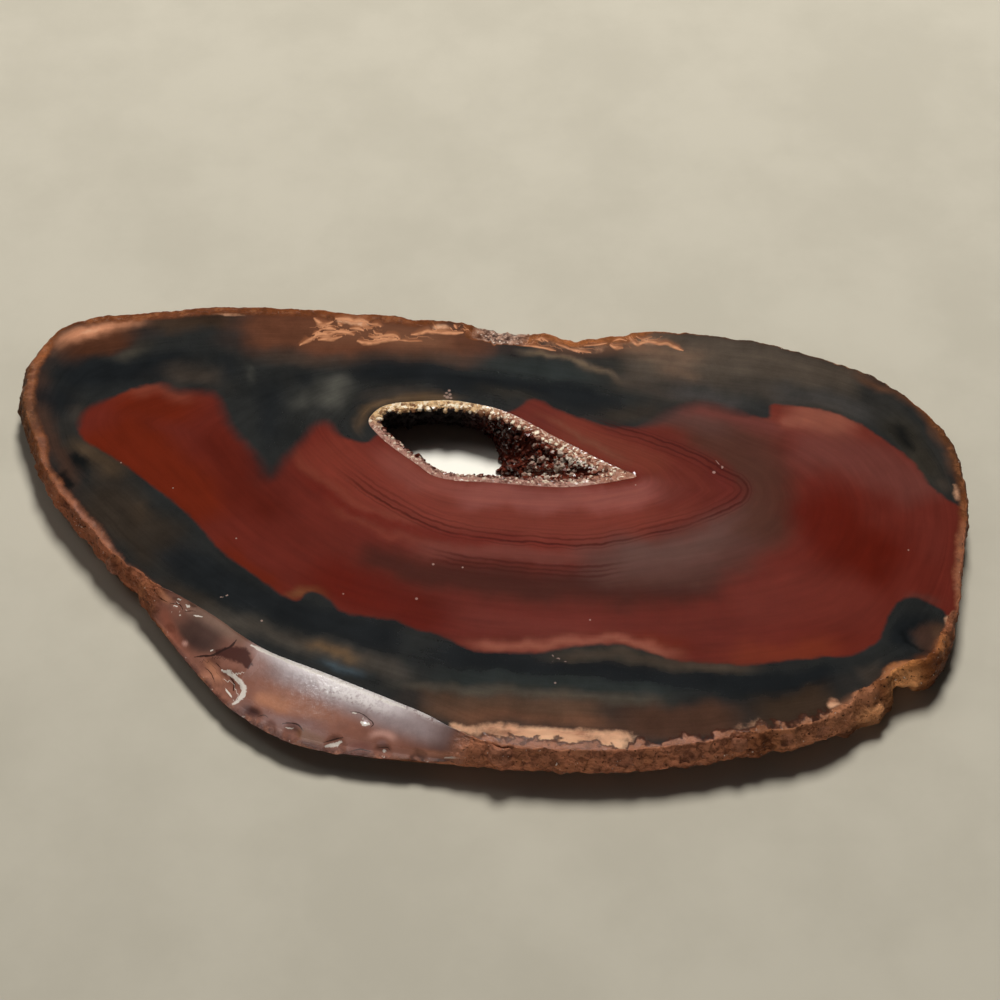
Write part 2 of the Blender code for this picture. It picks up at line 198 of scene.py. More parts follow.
def distanceTo(x, y, line, closed=False):
    # how far each point is from a line of short straight pieces
    ends = np.roll(line, -1, axis=0) if closed else line[1:]
    least = np.full(len(x), farAway)
    for a, b in zip(line, ends):
        least = np.minimum(least, nearOnPiece(x, y, a, b)[1])
    return np.sqrt(least)


def placeOnLine(x, y, line):
    # how far each point is from the line, where along it the nearest place is,
    # the line's length, and the side
    least, where, side, walked = np.full(len(x), farAway), np.zeros(len(x)), np.ones(len(x)), 0.0
    for a, b in zip(line[:-1], line[1:]):
        t, away = nearOnPiece(x, y, a, b)
        ex, ey = b - a
        step = math.hypot(ex, ey)
        where = np.where(away < least, walked + t * step, where)
        side = np.where(away < least, np.where(ex * (y - a[1]) > ey * (x - a[0]), 1.0, -1.0), side)
        least = np.minimum(least, away)
        walked += step
    return np.sqrt(least), where, walked, side


def markFields(x, y, marks):
    # for the nearest of some drawn lines: how far to its side a point is, in half widths,
    # and whether it is beside it
    least, across, beside = np.full(len(x), farAway), np.full(len(x), mostAcross), np.zeros(len(x))
    for points, half in marks:
        line = openCurve(points, 4) if len(points) > 2 else np.array(points, float)
        away, along, length, side = placeOnLine(x, y, line)
        fromEnd = np.minimum(along, length - along)
        here = half * (0.4 + 0.6 * easeStep(fromEnd, 0, min(0.5 * length, 4 * half + 0.4)))
        nearer = away < least
        across = np.where(nearer, np.clip(side * away / here, -mostAcross, mostAcross), across)
        beside = np.where(nearer, (fromEnd > 1e-6) * (1 - easeStep(away, half + 0.7, half + 1.2)), beside)
        least = np.minimum(least, away)
    return across, beside


def insideOf(x, y, loop):
    # whether each point lies inside the closed loop
    inside = np.zeros(len(x), bool)
    for (ax, ay), (bx, by) in zip(loop[:, :2], np.roll(loop, -1, axis=0)[:, :2]):
        if ay != by:
            crosses = ((ay > y) != (by > y)) & (x < (bx - ax) * (y - ay) / (by - ay) + ax)
            inside ^= crosses
    return inside


def signedDistance(x, y, loop):
    # positive inside the loop
    return np.where(insideOf(x, y, loop), 1, -1) * distanceTo(x, y, loop, True)


def easeStep(value, low, high):
    # 0 below low, 1 above high, smooth between them
    t = np.clip((value - low) / (high - low), 0, 1)
    return t * t * (3 - 2 * t)


def wander(x, y, size, seed, reach):
    # a seeded waver that bends drawn lines, as stone does
    return reach * np.array([noise.fractal(Vector((a / size, b / size, seed)), 0.8, 2.2, 4)
                             for a, b in zip(x, y)])


def brushWeight(x, y, strokes, fading=True):
    # soft strokes laid over each other: each is its points, half width, softness and strength
    clear = np.ones(len(x))
    for points, width, soft, strength in strokes:
        line = openCurve(points) if len(points) > 2 else np.array(points, float)
        if len(points) > 1:
            away, along, length, _ = placeOnLine(x, y, line)
            fade = min(0.35 * length, 3.5)
            fromEnd = np.minimum(along, length - along)
            ends = 1 if length < 2.5 or not fading else easeStep(fromEnd, -0.3 * fade, fade)
        else:
            away, ends = np.hypot(x - points[0][0], y - points[0][1]), 1
        clear *= 1 - strength * ends * (1 - easeStep(away, width - soft / 2, width + soft))
    return 1 - clear


# the loop that the fine dark lines follow, round the hollow
ringRows = [
    (-19.5, 11), (-18.5, 9), (-16, 6), (-12.8, 3), (-10, 0.8), (-5, -2.4), (0, -3.7), (5, -4.3), (10, -4.7),
    (13.3, -4.3), (16.7, -3.3), (20, -2.4), (23.3, -1.2), (25.6, 0.1), (27.1, 1.3), (27.7, 2.7), (27, 4),
    (25.3, 5.2), (23.3, 6.9), (20, 8.8), (16.7, 10.2), (13, 11.8), (9, 13.8), (5, 16), (0, 17.5), (-6, 18.2),
    (-12, 17.5), (-16.5, 15.4), (-18.9, 13.2),
]
# the outer band, between the red and the dark
outerRows = [
    (-44.5, 12.5), (-43, 8.5), (-37.5, 3.5), (-31, -3), (-25, -9), (-18, -13.5), (-10, -16.5), (0, -19),
    (10, -19.3), (20, -20.3), (30, -20), (38, -18.3), (43, -14), (46.5, -8), (48, -2), (47.5, 4), (45, 9),
    (41, 13), (35, 15.5), (28, 16.5), (20, 17.5), (10, 19.3), (0, 20.8), (-10, 21.3), (-20, 21), (-30, 20.2),
    (-38, 18.8), (-42.8, 16.3),
]
# the edge of the red stone
redRows = [
    (-37.7, 16.6), (-35.2, 17.2), (-33.3, 16.3), (-29.2, 15.8), (-28, 13.3), (-26.8, 10.7), (-25.2, 8.7),
    (-23.6, 6.8), (-22.2, 4.4), (-20.8, 7), (-19.3, 9.4), (-18.3, 11.3), (-16.7, 11.8), (-15.5, 10.2),
    (-13.7, 9.2), (-12.2, 8.9), (-11.2, 10.2), (-9.3, 12.2), (-5, 13.8), (0, 13.2), (3.4, 13.6), (5, 15),
    (6.7, 14.5), (9.3, 12.9), (11.7, 11.9), (14.3, 11), (17, 11.2), (20, 13.2), (23.3, 14.4), (26, 13.8),
    (28, 12.9), (30.5, 12.3), (30.9, 13.4), (31.2, 14.3), (32.7, 14.3), (35.3, 13.8), (38.3, 12.7),
    (40.7, 11.3), (42.3, 9.7), (43.7, 8.3), (45.3, 6.7), (46, 5.3), (46.7, 3.3), (48, 1.7), (49.4, 0.5),
    (52.5, -1), (52, -8), (50, -13), (47, -14.2), (46.1, -12.9), (45, -12), (43.3, -11.2), (41.7, -12),
    (40.5, -14), (39.7, -16), (38.3, -17.3), (36, -18.4), (33.8, -18.5), (31.3, -18.6), (29, -19.1),
    (26, -19.3), (21.7, -19.2), (19, -18.9), (16.7, -17.9), (14, -17.1), (11, -17), (8.3, -17.3), (6, -17.9),
    (3.3, -18), (0, -17.9), (-2, -17.2), (-3.3, -16.4), (-5, -15.5), (-7, -14.8), (-9, -14.1), (-12, -13.5),
    (-14, -13), (-15, -12), (-16.2, -10.8), (-17.7, -10.6), (-18.6, -11.6), (-19.8, -11.2), (-21.3, -10),
    (-22.7, -8.8), (-24.7, -7.2), (-27, -5.2), (-28.7, -3), (-31.3, 0), (-33, 1.7), (-35.3, 3.7),
    (-37.7, 5.7), (-39.7, 7.3), (-42, 9), (-43.2, 11), (-43, 13), (-42, 14.3), (-39.7, 15.6),
]

# colours as they look, 0 to 255
tones = {
    "dark": (37, 38, 38), "tealDeep": (25, 28, 31), "black": (15, 17, 18), "tealGrey": (42, 47, 47),
    "brown": (75, 50, 38), "brownRed": (72, 42, 28), "brownDark": (58, 44, 34), "brownLow": (84, 61, 47),
    "redBrown": (92, 56, 40), "tanBrown": (112, 74, 54), "brownDusk": (68, 54, 46), "brownGrey": (73, 64, 56),
    "olive": (50, 42, 35), "oliveLight": (70, 56, 43), "oliveDark": (48, 44, 38), "oliveLine": (74, 68, 59),
    "milkySheen": (76, 75, 70), "greyWarm": (62, 54, 48), "greySlate": (58, 56, 55), "greyTan": (72, 66, 60),
    "greyLine": (106, 89, 72), "stripTan": (74, 62, 50), "tan": (104, 82, 67), "goldTan": (106, 82, 58),
    "blueSheen": (72, 90, 102), "rustShade": (96, 64, 46), "brick": (96, 36, 28), "redOrange": (99, 32, 15),
    "maroon": (84, 26, 16), "deepMaroon": (58, 26, 23), "redDeep": (87, 23, 13), "redLine": (98, 33, 25),
    "roseRed": (113, 48, 37), "rose": (122, 62, 52), "roseLight": (132, 72, 64), "roseStrip": (104, 52, 44),
    "brickRose": (103, 42, 34), "orangeRed": (114, 47, 30), "salmon": (131, 75, 61),
    "salmonDark": (118, 58, 44), "mauve": (101, 54, 48), "wineDark": (65, 31, 24), "wineBrown": (74, 43, 34),
    "wineGrey": (82, 53, 47), "paleGrey": (89, 63, 57), "redUp": (108, 46, 33), "maroonTip": (92, 33, 27),
    "goldEdge": (112, 72, 46), "salmonEdge": (140, 79, 62), "peach": (212, 162, 130),
    "peachShade": (172, 120, 94), "peachBright": (228, 180, 146), "tanGround": (118, 80, 60),
    "purpleBrown": (98, 68, 62), "facetTan": (158, 108, 88), "facetOrange": (184, 126, 98),
    "facetDark": (70, 36, 30), "facetLeft": (78, 56, 50), "facetSheenGrey": (158, 142, 144),
    "chipAndHighlightWhite": (226, 218, 210), "facetPink": (138, 92, 78), "facetDusk": (66, 46, 42),
    "facetHaze": (130, 104, 92), "facetRose": (140, 84, 68), "facetPale": (196, 150, 138),
    "facetSheen": (222, 212, 216), "facetMauve": (136, 102, 98), "facetPlum": (82, 50, 46),
    "facetRed": (122, 70, 58), "crackDark": (44, 24, 20), "glitter": (250, 244, 244), "rimTan": (124, 84, 62),
    "cornerTan": (126, 88, 68), "cornerBrown": (66, 46, 38), "druseShadeBlack": (9, 6, 5),
    "scallopDark": (58, 30, 22), "lobeTan": (172, 116, 86), "ribbonTan": (150, 94, 64),
    "ribbonPeach": (206, 146, 108), "rustGlow": (150, 88, 52), "rindGold": (250, 182, 124),
    "peachSoft": (196, 134, 102), "rust": (112, 63, 33), "rustBrown": (84, 53, 33),
    "rustPlain": (108, 59, 31), "rustTan": (178, 116, 76), "rustPit": (44, 23, 15), "rindPlum": (92, 60, 54),
    "rindWarm": (146, 88, 62), "rindMauve": (172, 112, 84), "rindTan": (176, 118, 86),
    "rindOrange": (196, 128, 76), "rindSalmon": (146, 92, 68), "rindShade": (70, 52, 40),
    "rindOchre": (140, 84, 48), "rindFootShade": (46, 27, 20), "lineDark": (60, 20, 17), "rimDark": (44, 26, 17),
    "dust": (150, 122, 110), "sparkle": (225, 215, 205), "breakDark": (66, 44, 38),
    "breakPale": (176, 140, 122), "chipDark": (66, 38, 31), "chipTan": (158, 106, 84),
    "druseDeep": (62, 24, 17), "druseRed": (118, 50, 34), "drusePale": (205, 194, 180),
    "druseShade": (120, 84, 60), "druseTan": (168, 118, 98), "druseBrown": (104, 60, 46),
    "druseMauve": (104, 68, 60), "druseGold": (212, 176, 130), "druseCream": (242, 230, 208),
    "druseRose": (164, 122, 110), "floorShade": (183, 178, 165), "floorPale": (190, 185, 172),
    "paintedLightPool": (252, 250, 242),
}


def linearTone(tone):
    channels = np.array(tones[tone] if isinstance(tone, str) else tone) / 255
    return np.where(channels <= 0.04045, channels / 12.92, ((channels + 0.055) / 1.055) ** 2.4)


# soft washes over the dark stone: tone, points, half width, softness, strength
darkWashes = [
    ("brown", [(-48.3, 20), (-47.9, 15), (-46.6, 10.5), (-44.4, 6), (-42, 1.8)], 0.7, 1.2, 0.6),
    ("brownRed", [(-47.2, 21.4), (-44, 22.6), (-41, 24), (-37.5, 25.4)], 1.5, 1.5, 0.95),
    ("oliveLine", [(-41.2, 20.4), (-38.5, 22), (-36.4, 23.2)], 0.3, 1.1, 0.6),
    ("brownDark", [(-38, 25.9), (-34, 26.2), (-30, 26.8), (-27, 26.6)], 0.9, 1.3, 0.9),
    ("tealDeep", [(-47.4, 17.4), (-43.5, 18.5), (-39, 18.7), (-35, 19.6), (-31, 21)], 1.6, 1.7, 0.9),
    ("tealDeep", [(-47.4, 15.6), (-45.6, 14.4)], 1, 1.6, 0.8),
    ("greyWarm", [(-36, 17.9), (-33, 18.7), (-30, 18.3), (-28, 16.8)], 0.9, 1.6, 0.85),
    ("greyWarm", [(-44.2, 14.6), (-43.4, 11.4)], 0.5, 1.4, 0.55),
    ("tealDeep", [(-28.4, 20.6), (-27.6, 19)], 0.6, 1.3, 0.55),
    ("tealDeep", [(-24.2, 18.8), (-23.4, 16.4), (-22.9, 13.4), (-22.4, 9.6), (-22.2, 7.4)], 0.9, 1.5, 0.65),
    ("tealDeep", [(-20.6, 18.2), (-18.4, 17.2), (-17.4, 18.2)], 0.5, 1.2, 0.6),
    # painted sheen: a milky grey reflection laid over the polish in these three strokes
    ("milkySheen", [(-25.9, 20.6), (-25.3, 18.8), (-25, 17)], 0.12, 0.7, 0.4),
    ("milkySheen", [(-16.3, 18.8), (-16.1, 16.2), (-16.8, 13.4)], 0.9, 2.2, 0.95),
    ("milkySheen", [(-20, 16.2), (-19, 13.6)], 0.5, 1.7, 0.45),
    ("greyWarm", [(-13.6, 14.6), (-12.4, 15.6), (-9.6, 16.2), (-5, 16.3)], 0.3, 1, 0.6),
    ("goldTan", [(-12.9, 10.4), (-13.2, 12), (-12.2, 14), (-9.6, 15), (-6, 15.3), (-2, 15.3)], 0.2, 0.8, 0.7),
    ("redBrown", [(-27.4, 24.4), (-22, 24.1), (-16, 23.6), (-9, 23.2), (-3, 22.8),
     (1.6, 22.2)], 1.8, 1.9, 0.97),
    ("redBrown", [(-28, 27), (-22, 26.7), (-14, 26.2), (-7, 25.4), (-1, 24.4)], 1.3, 1.3, 0.97),
    ("tanBrown", [(-11, 23.7), (-7, 23.2), (-3, 22.9)], 0.6, 1.4, 0.85),
    ("brownDusk", [(-25.5, 21.4), (-20, 20.8), (-14, 20.8), (-8, 21), (-3, 20.8), (1, 20.8)], 0.5, 1.5, 0.75),
    ("tealDeep", [(-15, 19.7), (-9, 19), (-4, 17.9), (2, 17.4), (8, 16.2), (13, 14.3),
     (15.4, 13)], 1.3, 1.5, 0.9),
    ("tealGrey", [(-2, 20.3), (4, 19.8), (9, 18.8), (14, 17)], 0.8, 1.2, 0.8),
    ("oliveDark", [(-1, 16.7), (3, 16), (7, 14.8)], 0.5, 1.1, 0.7),
    ("olive", [(11.6, 13.4), (14.6, 12.4), (17, 13.2), (20, 14.6)], 0.7, 1.3, 0.7),
    ("brownGrey", [(14, 20.6), (19, 20.2), (24, 20), (30, 19.2), (36, 17.8), (41.6, 15.6)], 3, 2.4, 0.95),
    ("brownGrey", [(14, 23.2), (20, 23.4), (27, 22.6), (34, 20.9)], 1.6, 1.6, 0.95),
    ("tan", [(14, 22.3), (18, 22.2), (21.5, 21.4), (25, 21.4)], 0.7, 1.8, 0.8),
    ("tan", [(20.4, 19), (21.8, 18)], 0.7, 1.7, 0.7),
    ("greyLine", [(3.6, 22), (7, 21.4), (10.2, 20.3), (13, 18.9), (16, 17.3)], 0.16, 0.6, 0.9),
    ("greyWarm", [(14.5, 17.8), (18, 16.3), (22, 15.4), (26, 14.6)], 0.5, 1.3, 0.7),
    ("greySlate", [(19, 17.2), (24, 15.8), (28.6, 13.8), (29.6, 12.8)], 1, 1.4, 0.9),
    ("greySlate", [(30.4, 15.7), (35, 15.5), (39.5, 13.8), (42.5, 11.8)], 0.9, 1.4, 0.9),
    ("dark", [(25, 17.6), (31, 16.9), (37, 16.6), (42, 14.6)], 0.3, 1.6, 0.45),
    ("dark", [(26.6, 13.4), (29.4, 12.6)], 0.6, 1.2, 0.6),
    ("oliveDark", [(43, 13.2), (45.4, 9.8), (46.7, 6), (48.2, 2.8)], 1.2, 1.4, 0.92),
    ("black", [(44.8, 10.8), (45.4, 9)], 0.45, 1.1, 0.85),
    ("greyWarm", [(47.8, 4.4), (48.7, 1.9)], 0.5, 0.9, 0.7),
    ("rustShade", [(40, 19), (44, 16.4), (47.6, 12.8), (49.3, 8), (50, 4)], 0.25, 1, 0.7),
    ("peachSoft", [(-47.4, 22.4), (-46, 23.9), (-43.6, 25.1), (-40.6, 26), (-37, 26.5)], 0.45, 1.4, 0.95),
    ("peachSoft", [(-45, 24.4), (-43.4, 25), (-41.6, 25.7)], 0.3, 0.9, 0.8),
    ("oliveLight", [(-44.4, 10.2), (-42.2, 8), (-39.8, 5.8), (-37.2, 3.4)], 0.9, 1.5, 0.9),
    ("olive", [(-42.6, 2.4), (-40, 1), (-37, -1), (-34, -4), (-31.8, -7.6)], 2.3, 2, 0.95),
    ("oliveLight", [(-36.4, 1), (-34.4, -1.6)], 0.4, 1.4, 0.35),
    ("black", [(-43.7, 7.9), (-43, 6.4), (-41.8, 5.4), (-41.1, 5.3)], 0.62, 0.7, 0.95),
    ("black", [(-44.2, 4.5), (-43.2, 3)], 0.4, 0.6, 0.92),
    ("tealDeep", [(-33.4, -4), (-29.8, -7), (-26, -9.6), (-22, -11.9), (-17, -13.7), (-12, -15.4),
     (-7, -17.2)], 1.4, 1.4, 0.85),
    ("olive", [(-33, -8.8), (-29, -11.4), (-25.5, -13.4)], 0.5, 1.2, 0.75),
    ("greyTan", [(-29, -12.1), (-25, -14.3), (-21, -15.9), (-16, -17.3), (-11, -19.3),
     (-6, -21.2)], 0.6, 1.3, 0.85),
    ("goldTan", [(-18, -16.3), (-15, -17.5), (-12, -18.9)], 0.3, 0.8, 0.8),
    # painted sheen: a faint blue reflection near the facet's edge
    ("blueSheen", [(-16.6, -18.6), (-13.6, -19.7), (-11, -20.9)], 0.2, 0.7, 0.5),
    ("tealDeep", [(-6, -17.8), (2, -19.3), (10, -19.8), (18, -20.9), (25, -21.8), (31, -21.4),
     (36.4, -20)], 1, 1, 0.9),
    ("tealGrey", [(-5, -20.4), (3, -21.2), (9, -21.7), (15, -22.3), (20, -22.8)], 0.5, 0.8, 0.8),
    ("stripTan", [(6, -18.5), (9.5, -18), (13.5, -18.1), (18, -19.1), (22.5, -19.7),
     (27.5, -19.5)], 0.4, 0.9, 0.7),
    ("oliveLine", [(-9, -21.8), (-3, -22.1), (3, -22.5), (9, -23), (14, -23.4),
     (19, -23.7)], 0.35, 0.8, 0.85),
    ("brownLow", [(-7, -23.5), (0, -24.3), (6, -24.6), (13, -25.2)], 1.1, 1.1, 0.95),
    ("brown", [(12, -25.7), (20, -26), (26, -25.6)], 1.6, 1.1, 0.95),
    ("tanBrown", [(-4, -25), (1, -25.6), (7, -26), (14, -26.6)], 0.4, 1.2, 0.7),
    ("brownDark", [(25.4, -25.2), (29.6, -24.8), (33.4, -23.6), (35.4, -22.4)], 1.5, 0.9, 0.95),
    ("greyWarm", [(36.6, -20.8), (38.4, -20.2), (40, -19.6)], 0.8, 1, 0.8),
    ("cornerTan", [(33.8, -25.1), (35.6, -24.2), (37.6, -23.3), (39.2, -22.2), (40, -21.2)], 0.6, 0.8, 0.9),
    ("tealDeep", [(41.3, -18.2), (42.5, -15.2), (43.4, -12.9)], 1, 1.2, 0.92),
    ("cornerBrown", [(44.3, -15.6), (44.7, -17.2)], 1, 0.8, 0.9),
    ("brownLow", [(44.9, -14.4), (45.4, -16.4), (44.6, -18.2)], 0.4, 0.7, 0.85),
    ("black", [(43.2, -13.9), (42.4, -15.4), (42.6, -16.8), (43.7, -17.8), (44.9, -18.2)], 0.1, 0.35, 0.9),
    ("rustPlain", [(42.6, -19.2), (44, -18.8), (45.2, -17.6)], 0.35, 0.7, 0.85),
]

# washes over the red stone
redWashes = [
    ("redOrange", [(-41.5, 12.4), (-39, 9.4), (-36, 6.4), (-33, 3.4), (-30, 0.4),
     (-27.5, -2.6)], 3.6, 2.6, 0.97),
    ("redOrange", [(-41, 14.2), (-37.5, 14.8), (-33, 13.6), (-30, 12.4)], 1.6, 1.6, 0.9),
    ("salmonDark", [(-39.4, 15.7), (-37.2, 16.4), (-35.2, 16.7), (-33.2, 15.7),
     (-30.4, 15.3)], 0.45, 1.3, 0.85),
    ("maroon", [(-30, 12), (-28, 8), (-26, 4.6), (-24, 1.4), (-20.4, -2.6)], 1.3, 2.6, 0.8),
    ("deepMaroon", [(-24.4, 8.6), (-22.8, 5.6), (-21.6, 3.2)], 1, 1.9, 0.85),
    ("redOrange", [(-27.4, -3.6), (-24, -7), (-21, -9.6), (-19, -10.8)], 0.6, 1, 0.8),
    ("goldEdge", [(-19.8, -11.2), (-18.4, -10.4), (-16.8, -10.2), (-15.4, -11.3)], 0.28, 0.6, 0.85),
    ("roseRed", [(-18, 10.4), (-15.4, 6.4), (-12.4, 3.4), (-8.4, 0.8), (-3, -1), (4, -1.8), (12, -1.6),
     (19, 0)], 2.3, 2, 0.95),
    ("redLine", [(-19.4, 5.4), (-15.6, 1.2), (-10.4, -1.8), (-4, -3.4), (3, -3.9),
     (10, -3.9)], 0.5, 0.9, 0.8),
    ("salmonDark", [(-20.2, 8), (-17.8, 4.8), (-14.8, 2), (-11.2, -0.5), (-6, -2.6)], 0.16, 0.8, 0.75),
    ("salmonDark", [(-16.6, 1.2), (-12.8, -1.9), (-7.6, -4), (-2, -5.2)], 0.1, 0.7, 0.6),
    ("rose", [(-12, 8.6), (-9.2, 5.9), (-6.4, 3.7), (-3, 2.5), (2, 2.2)], 1, 1.2, 0.9),
    ("roseLight", [(-3.4, 1.9), (3, 1.4), (10, 1.1), (15, 1.6), (19.6, 2.6)], 1.1, 1.4, 0.92),
    ("roseRed", [(2, -2.9), (9, -3), (15, -2.4), (20, -0.9), (23, 0.6)], 0.6, 1, 0.8),
    ("roseStrip", [(-8, -4.9), (-2, -5.7), (4, -6.1), (9, -6), (13.6, -5.2)], 0.7, 0.9, 0.85),
    ("wineDark", [(-13.4, -5.4), (-7, -7.7), (0, -9), (7, -9.8), (14, -10.3), (20, -9.9),
     (25.4, -8.4)], 1.4, 2, 0.95),
    ("redDeep", [(-18, -7.6), (-12.4, -10.4), (-7, -12.9), (-3, -15.4)], 1.8, 2, 0.92),
    ("brickRose", [(-3, -13.2), (3, -14.6), (8, -15.1), (13, -15.2)], 0.8, 1.5, 0.85),
    ("redOrange", [(14, -16.2), (18, -17.2), (22, -17.4)], 0.7, 1.5, 0.6),
    ("orangeRed", [(23, -18.3), (28, -17.9), (32, -17.6), (36.4, -17)], 0.8, 1.4, 0.88),
    ("salmonEdge", [(-2, -16.7), (1.5, -17.3), (5, -17.1), (8.4, -16.5), (12, -16.3), (15, -16.8),
     (17.8, -17.8), (20.4, -18.6)], 0.3, 0.8, 0.95),
    ("brickRose", [(24, -12.4), (30, -11.4), (36, -11.8), (41, -10.4)], 2.8, 2.6, 0.92),
    ("wineGrey", [(9, -7.4), (15, -7.4), (21, -7), (26, -5.2), (30, -2)], 1.8, 2.4, 0.85),
    ("paleGrey", [(12, -5.8), (18.5, -5.5), (22.6, -4.2), (27, -1.2), (30, 2)], 1.2, 2.8, 0.9),
    ("wineBrown", [(27, -5), (29.2, -1), (29.8, 4), (28.6, 8), (25.4, 10.6), (21, 12)], 2.2, 2.6, 0.96),
    ("wineBrown", [(28.4, 2), (27.6, 5.6), (25.4, 8.6), (21.6, 11.2)], 1.6, 1.6, 0.9),
    ("wineGrey", [(27, 10.2), (22.8, 12.2), (18.8, 13), (14.6, 13)], 1.2, 1.6, 0.92),
    ("mauve", [(19, 14.4), (24, 13.6), (28, 12), (33, 9.6)], 0.5, 1.3, 0.88),
    ("salmon", [(31.8, 13.3), (34.4, 12.7), (37.5, 11.5), (40.8, 9.9)], 1.4, 1.4, 0.96),
    ("salmon", [(31.4, 12.1), (34.4, 11.2)], 0.6, 1.2, 0.8),
    ("mauve", [(31.4, 8.4), (36, 7.7), (41, 6), (44.8, 3.2), (46.6, 0)], 2.3, 2.4, 0.92),
    ("redDeep", [(33.6, 2.6), (35.4, -0.6), (37.4, -4.2), (40.6, -6.6), (43.6, -8.2)], 2.7, 2.6, 0.96),
    ("brickRose", [(45.6, 0), (46.4, -4), (46.8, -8)], 0.9, 1.8, 0.85),
    ("redUp", [(6.6, 12.4), (11, 9.9), (16, 7.3), (20.6, 5)], 1.7, 1.5, 0.96),
    ("tanBrown", [(5.8, 12.9), (9.2, 10.5), (12.6, 8.1), (16, 6)], 0.1, 0.7, 0.6),
    ("redLine", [(9, 12.4), (14.6, 9.6), (20, 7.2), (23.6, 4.8)], 0.1, 0.8, 0.6),
    ("maroonTip", [(22.8, 6.2), (25, 4), (25.8, 2.2), (24.2, 0.8)], 0.9, 1.5, 0.88),
    ("wineDark", [(-12.6, 9.3), (-11.6, 10.4)], 0.2, 0.7, 0.4),
    ("wineGrey", [(46.4, -11.7), (44.6, -11.2), (42.6, -11.2)], 0.25, 0.8, 0.5),
]

# washes over the slanting facet, as seen slantwise from the near side; the grey and the sheen along its upper
# edge are painted sheen
facetWashes = [
    ("facetPink", [(-33, -11), (-27, -18), (-20, -23), (-13, -26.5), (-4, -28.6)], 6, 2, 1),
    ("facetLeft", [(-31, -13.4), (-29, -15.2), (-26.6, -16.4), (-24.6, -16.8)], 1.6, 1.1, 1),
    ("facetDusk", [(-29.4, -16), (-28.2, -17.2), (-26.8, -17.6)], 0.6, 0.9, 0.8),
    ("facetHaze", [(-30.6, -11.6), (-28.6, -12.8), (-26.4, -14.3), (-24.2, -16),
     (-22.8, -17.2)], 0.6, 1, 0.85),
    ("facetRose", [(-32.8, -11.8), (-31.7, -14.2), (-30.6, -16.4), (-29.2, -18.2)], 0.5, 0.6, 0.9),
    ("facetPale", [(-29.6, -17)], 0.2, 0.3, 0.9),
    ("facetSheenGrey", [(-21.6, -18.6), (-16, -21.4), (-11, -24.2), (-6.5, -26.4), (-2.6, -27.6)], 1.2, 1.7, 0.95),
    ("facetSheen", [(-22.6, -17.2), (-20.4, -18.4), (-16, -20.5), (-12, -22.4), (-9, -24),
     (-6, -25.4)], 0.5, 1.1, 0.9),
    ("facetTan", [(-22.4, -21.8), (-19.6, -23.6), (-16.4, -25.4), (-13.4, -26.4)], 0.9, 1.3, 0.9),
    ("facetOrange", [(-21.6, -23.5), (-20.5, -23.8), (-19.5, -24.4)], 0.5, 0.9, 0.95),
    ("facetMauve", [(-21.8, -25.4), (-19.8, -26.2), (-17, -26.5), (-14.2, -27.2)], 0.5, 0.9, 0.85),
    ("facetTan", [(-27.6, -19.6), (-26.6, -20.8), (-25.4, -22.4)], 0.8, 0.5, 0.95),
    ("facetOrange", [(-27.2, -19.4), (-26, -21)], 0.25, 0.4, 0.7),
    ("facetPlum", [(-23.9, -24.7), (-22.8, -25.2), (-21.7, -25.9)], 0.5, 0.5, 0.95),
    ("rimTan", [(-17.4, -27.6), (-15.8, -28.4)], 0.5, 0.5, 0.9),
    ("facetPlum", [(-19.8, -27.9), (-17.6, -28.7), (-15.4, -29.4)], 0.25, 0.4, 0.8),
    ("facetRed", [(-13.2, -29.2), (-11.4, -29.4), (-10.4, -29)], 0.6, 0.5, 0.9),
    ("facetPale", [(-11, -28.2), (-10.4, -27.6), (-9.6, -27.4), (-8.8, -27.8),
     (-8.2, -28.6)], 0.25, 0.45, 0.9),
    ("facetMauve", [(-9.6, -28.6)], 0.3, 0.4, 0.8),
    ("facetTan", [(-7.6, -29.5), (-4.8, -29.9), (-1.4, -30.1)], 0.3, 0.5, 0.9),
    ("facetOrange", [(-33.2, -9.8), (-32.2, -11.2), (-31.4, -12)], 0.3, 0.4, 0.95),
]
# white flecks of the facet, the first of them a painted highlight along its upper edge, then its dark broken
# places and its cracks: points, half width
facetFlecksAndEdgeHighlight = [
    ([(-23, -17.15), (-20.7, -18.3), (-18, -19.5), (-15.3, -20.7), (-12.6, -22), (-10, -23.2),
    (-7.4, -24.5)], 0.2), ([(-25.6, -20.1), (-24.7, -20.7), (-23.9, -21.5), (-23.5, -22.5), (-23.8, -23.6),
    (-24.6, -24.3)], 0.26), ([(-25.6, -20.3), (-24.6, -20.2)], 0.25),
    ([(-25.3, -22.4), (-24.7, -23.4)], 0.12), ([(-15.1, -29.1), (-14.1, -28.9), (-13.5, -28.5)], 0.28),
    ([(-11.9, -26.1), (-11.4, -26.4), (-10.9, -26.3)], 0.28), ([(-9.6, -29.4), (-9.2, -29.7)], 0.26),
    ([(-26.9, -17.8), (-26.7, -17.9)], 0.14), ([(-29.7, -12.3), (-29.3, -12.5)], 0.24),
    ([(-30.8, -11.5), (-30.4, -11.7)], 0.15), ([(-31.1, -12.3), (-30.8, -12.5)], 0.12),
    ([(-30.4, -13.4), (-30.2, -13.4)], 0.14), ([(-29, -13.4), (-28.1, -13.6)], 0.12),
    ([(-19, -27), (-18.3, -27.1)], 0.12), ([(-3.6, -30.3), (-2.2, -30.3)], 0.14),
    ([(-12.6, -25), (-12.1, -25.2)], 0.1),
]
facetStains = [
    ([(-26.4, -18.1), (-25.2, -18), (-24.2, -18.2), (-23.4, -18.9), (-22.9, -19.8)], 0.95),
    ([(-33.6, -9.8), (-33, -10.8), (-32.4, -11.6)], 0.18),
]
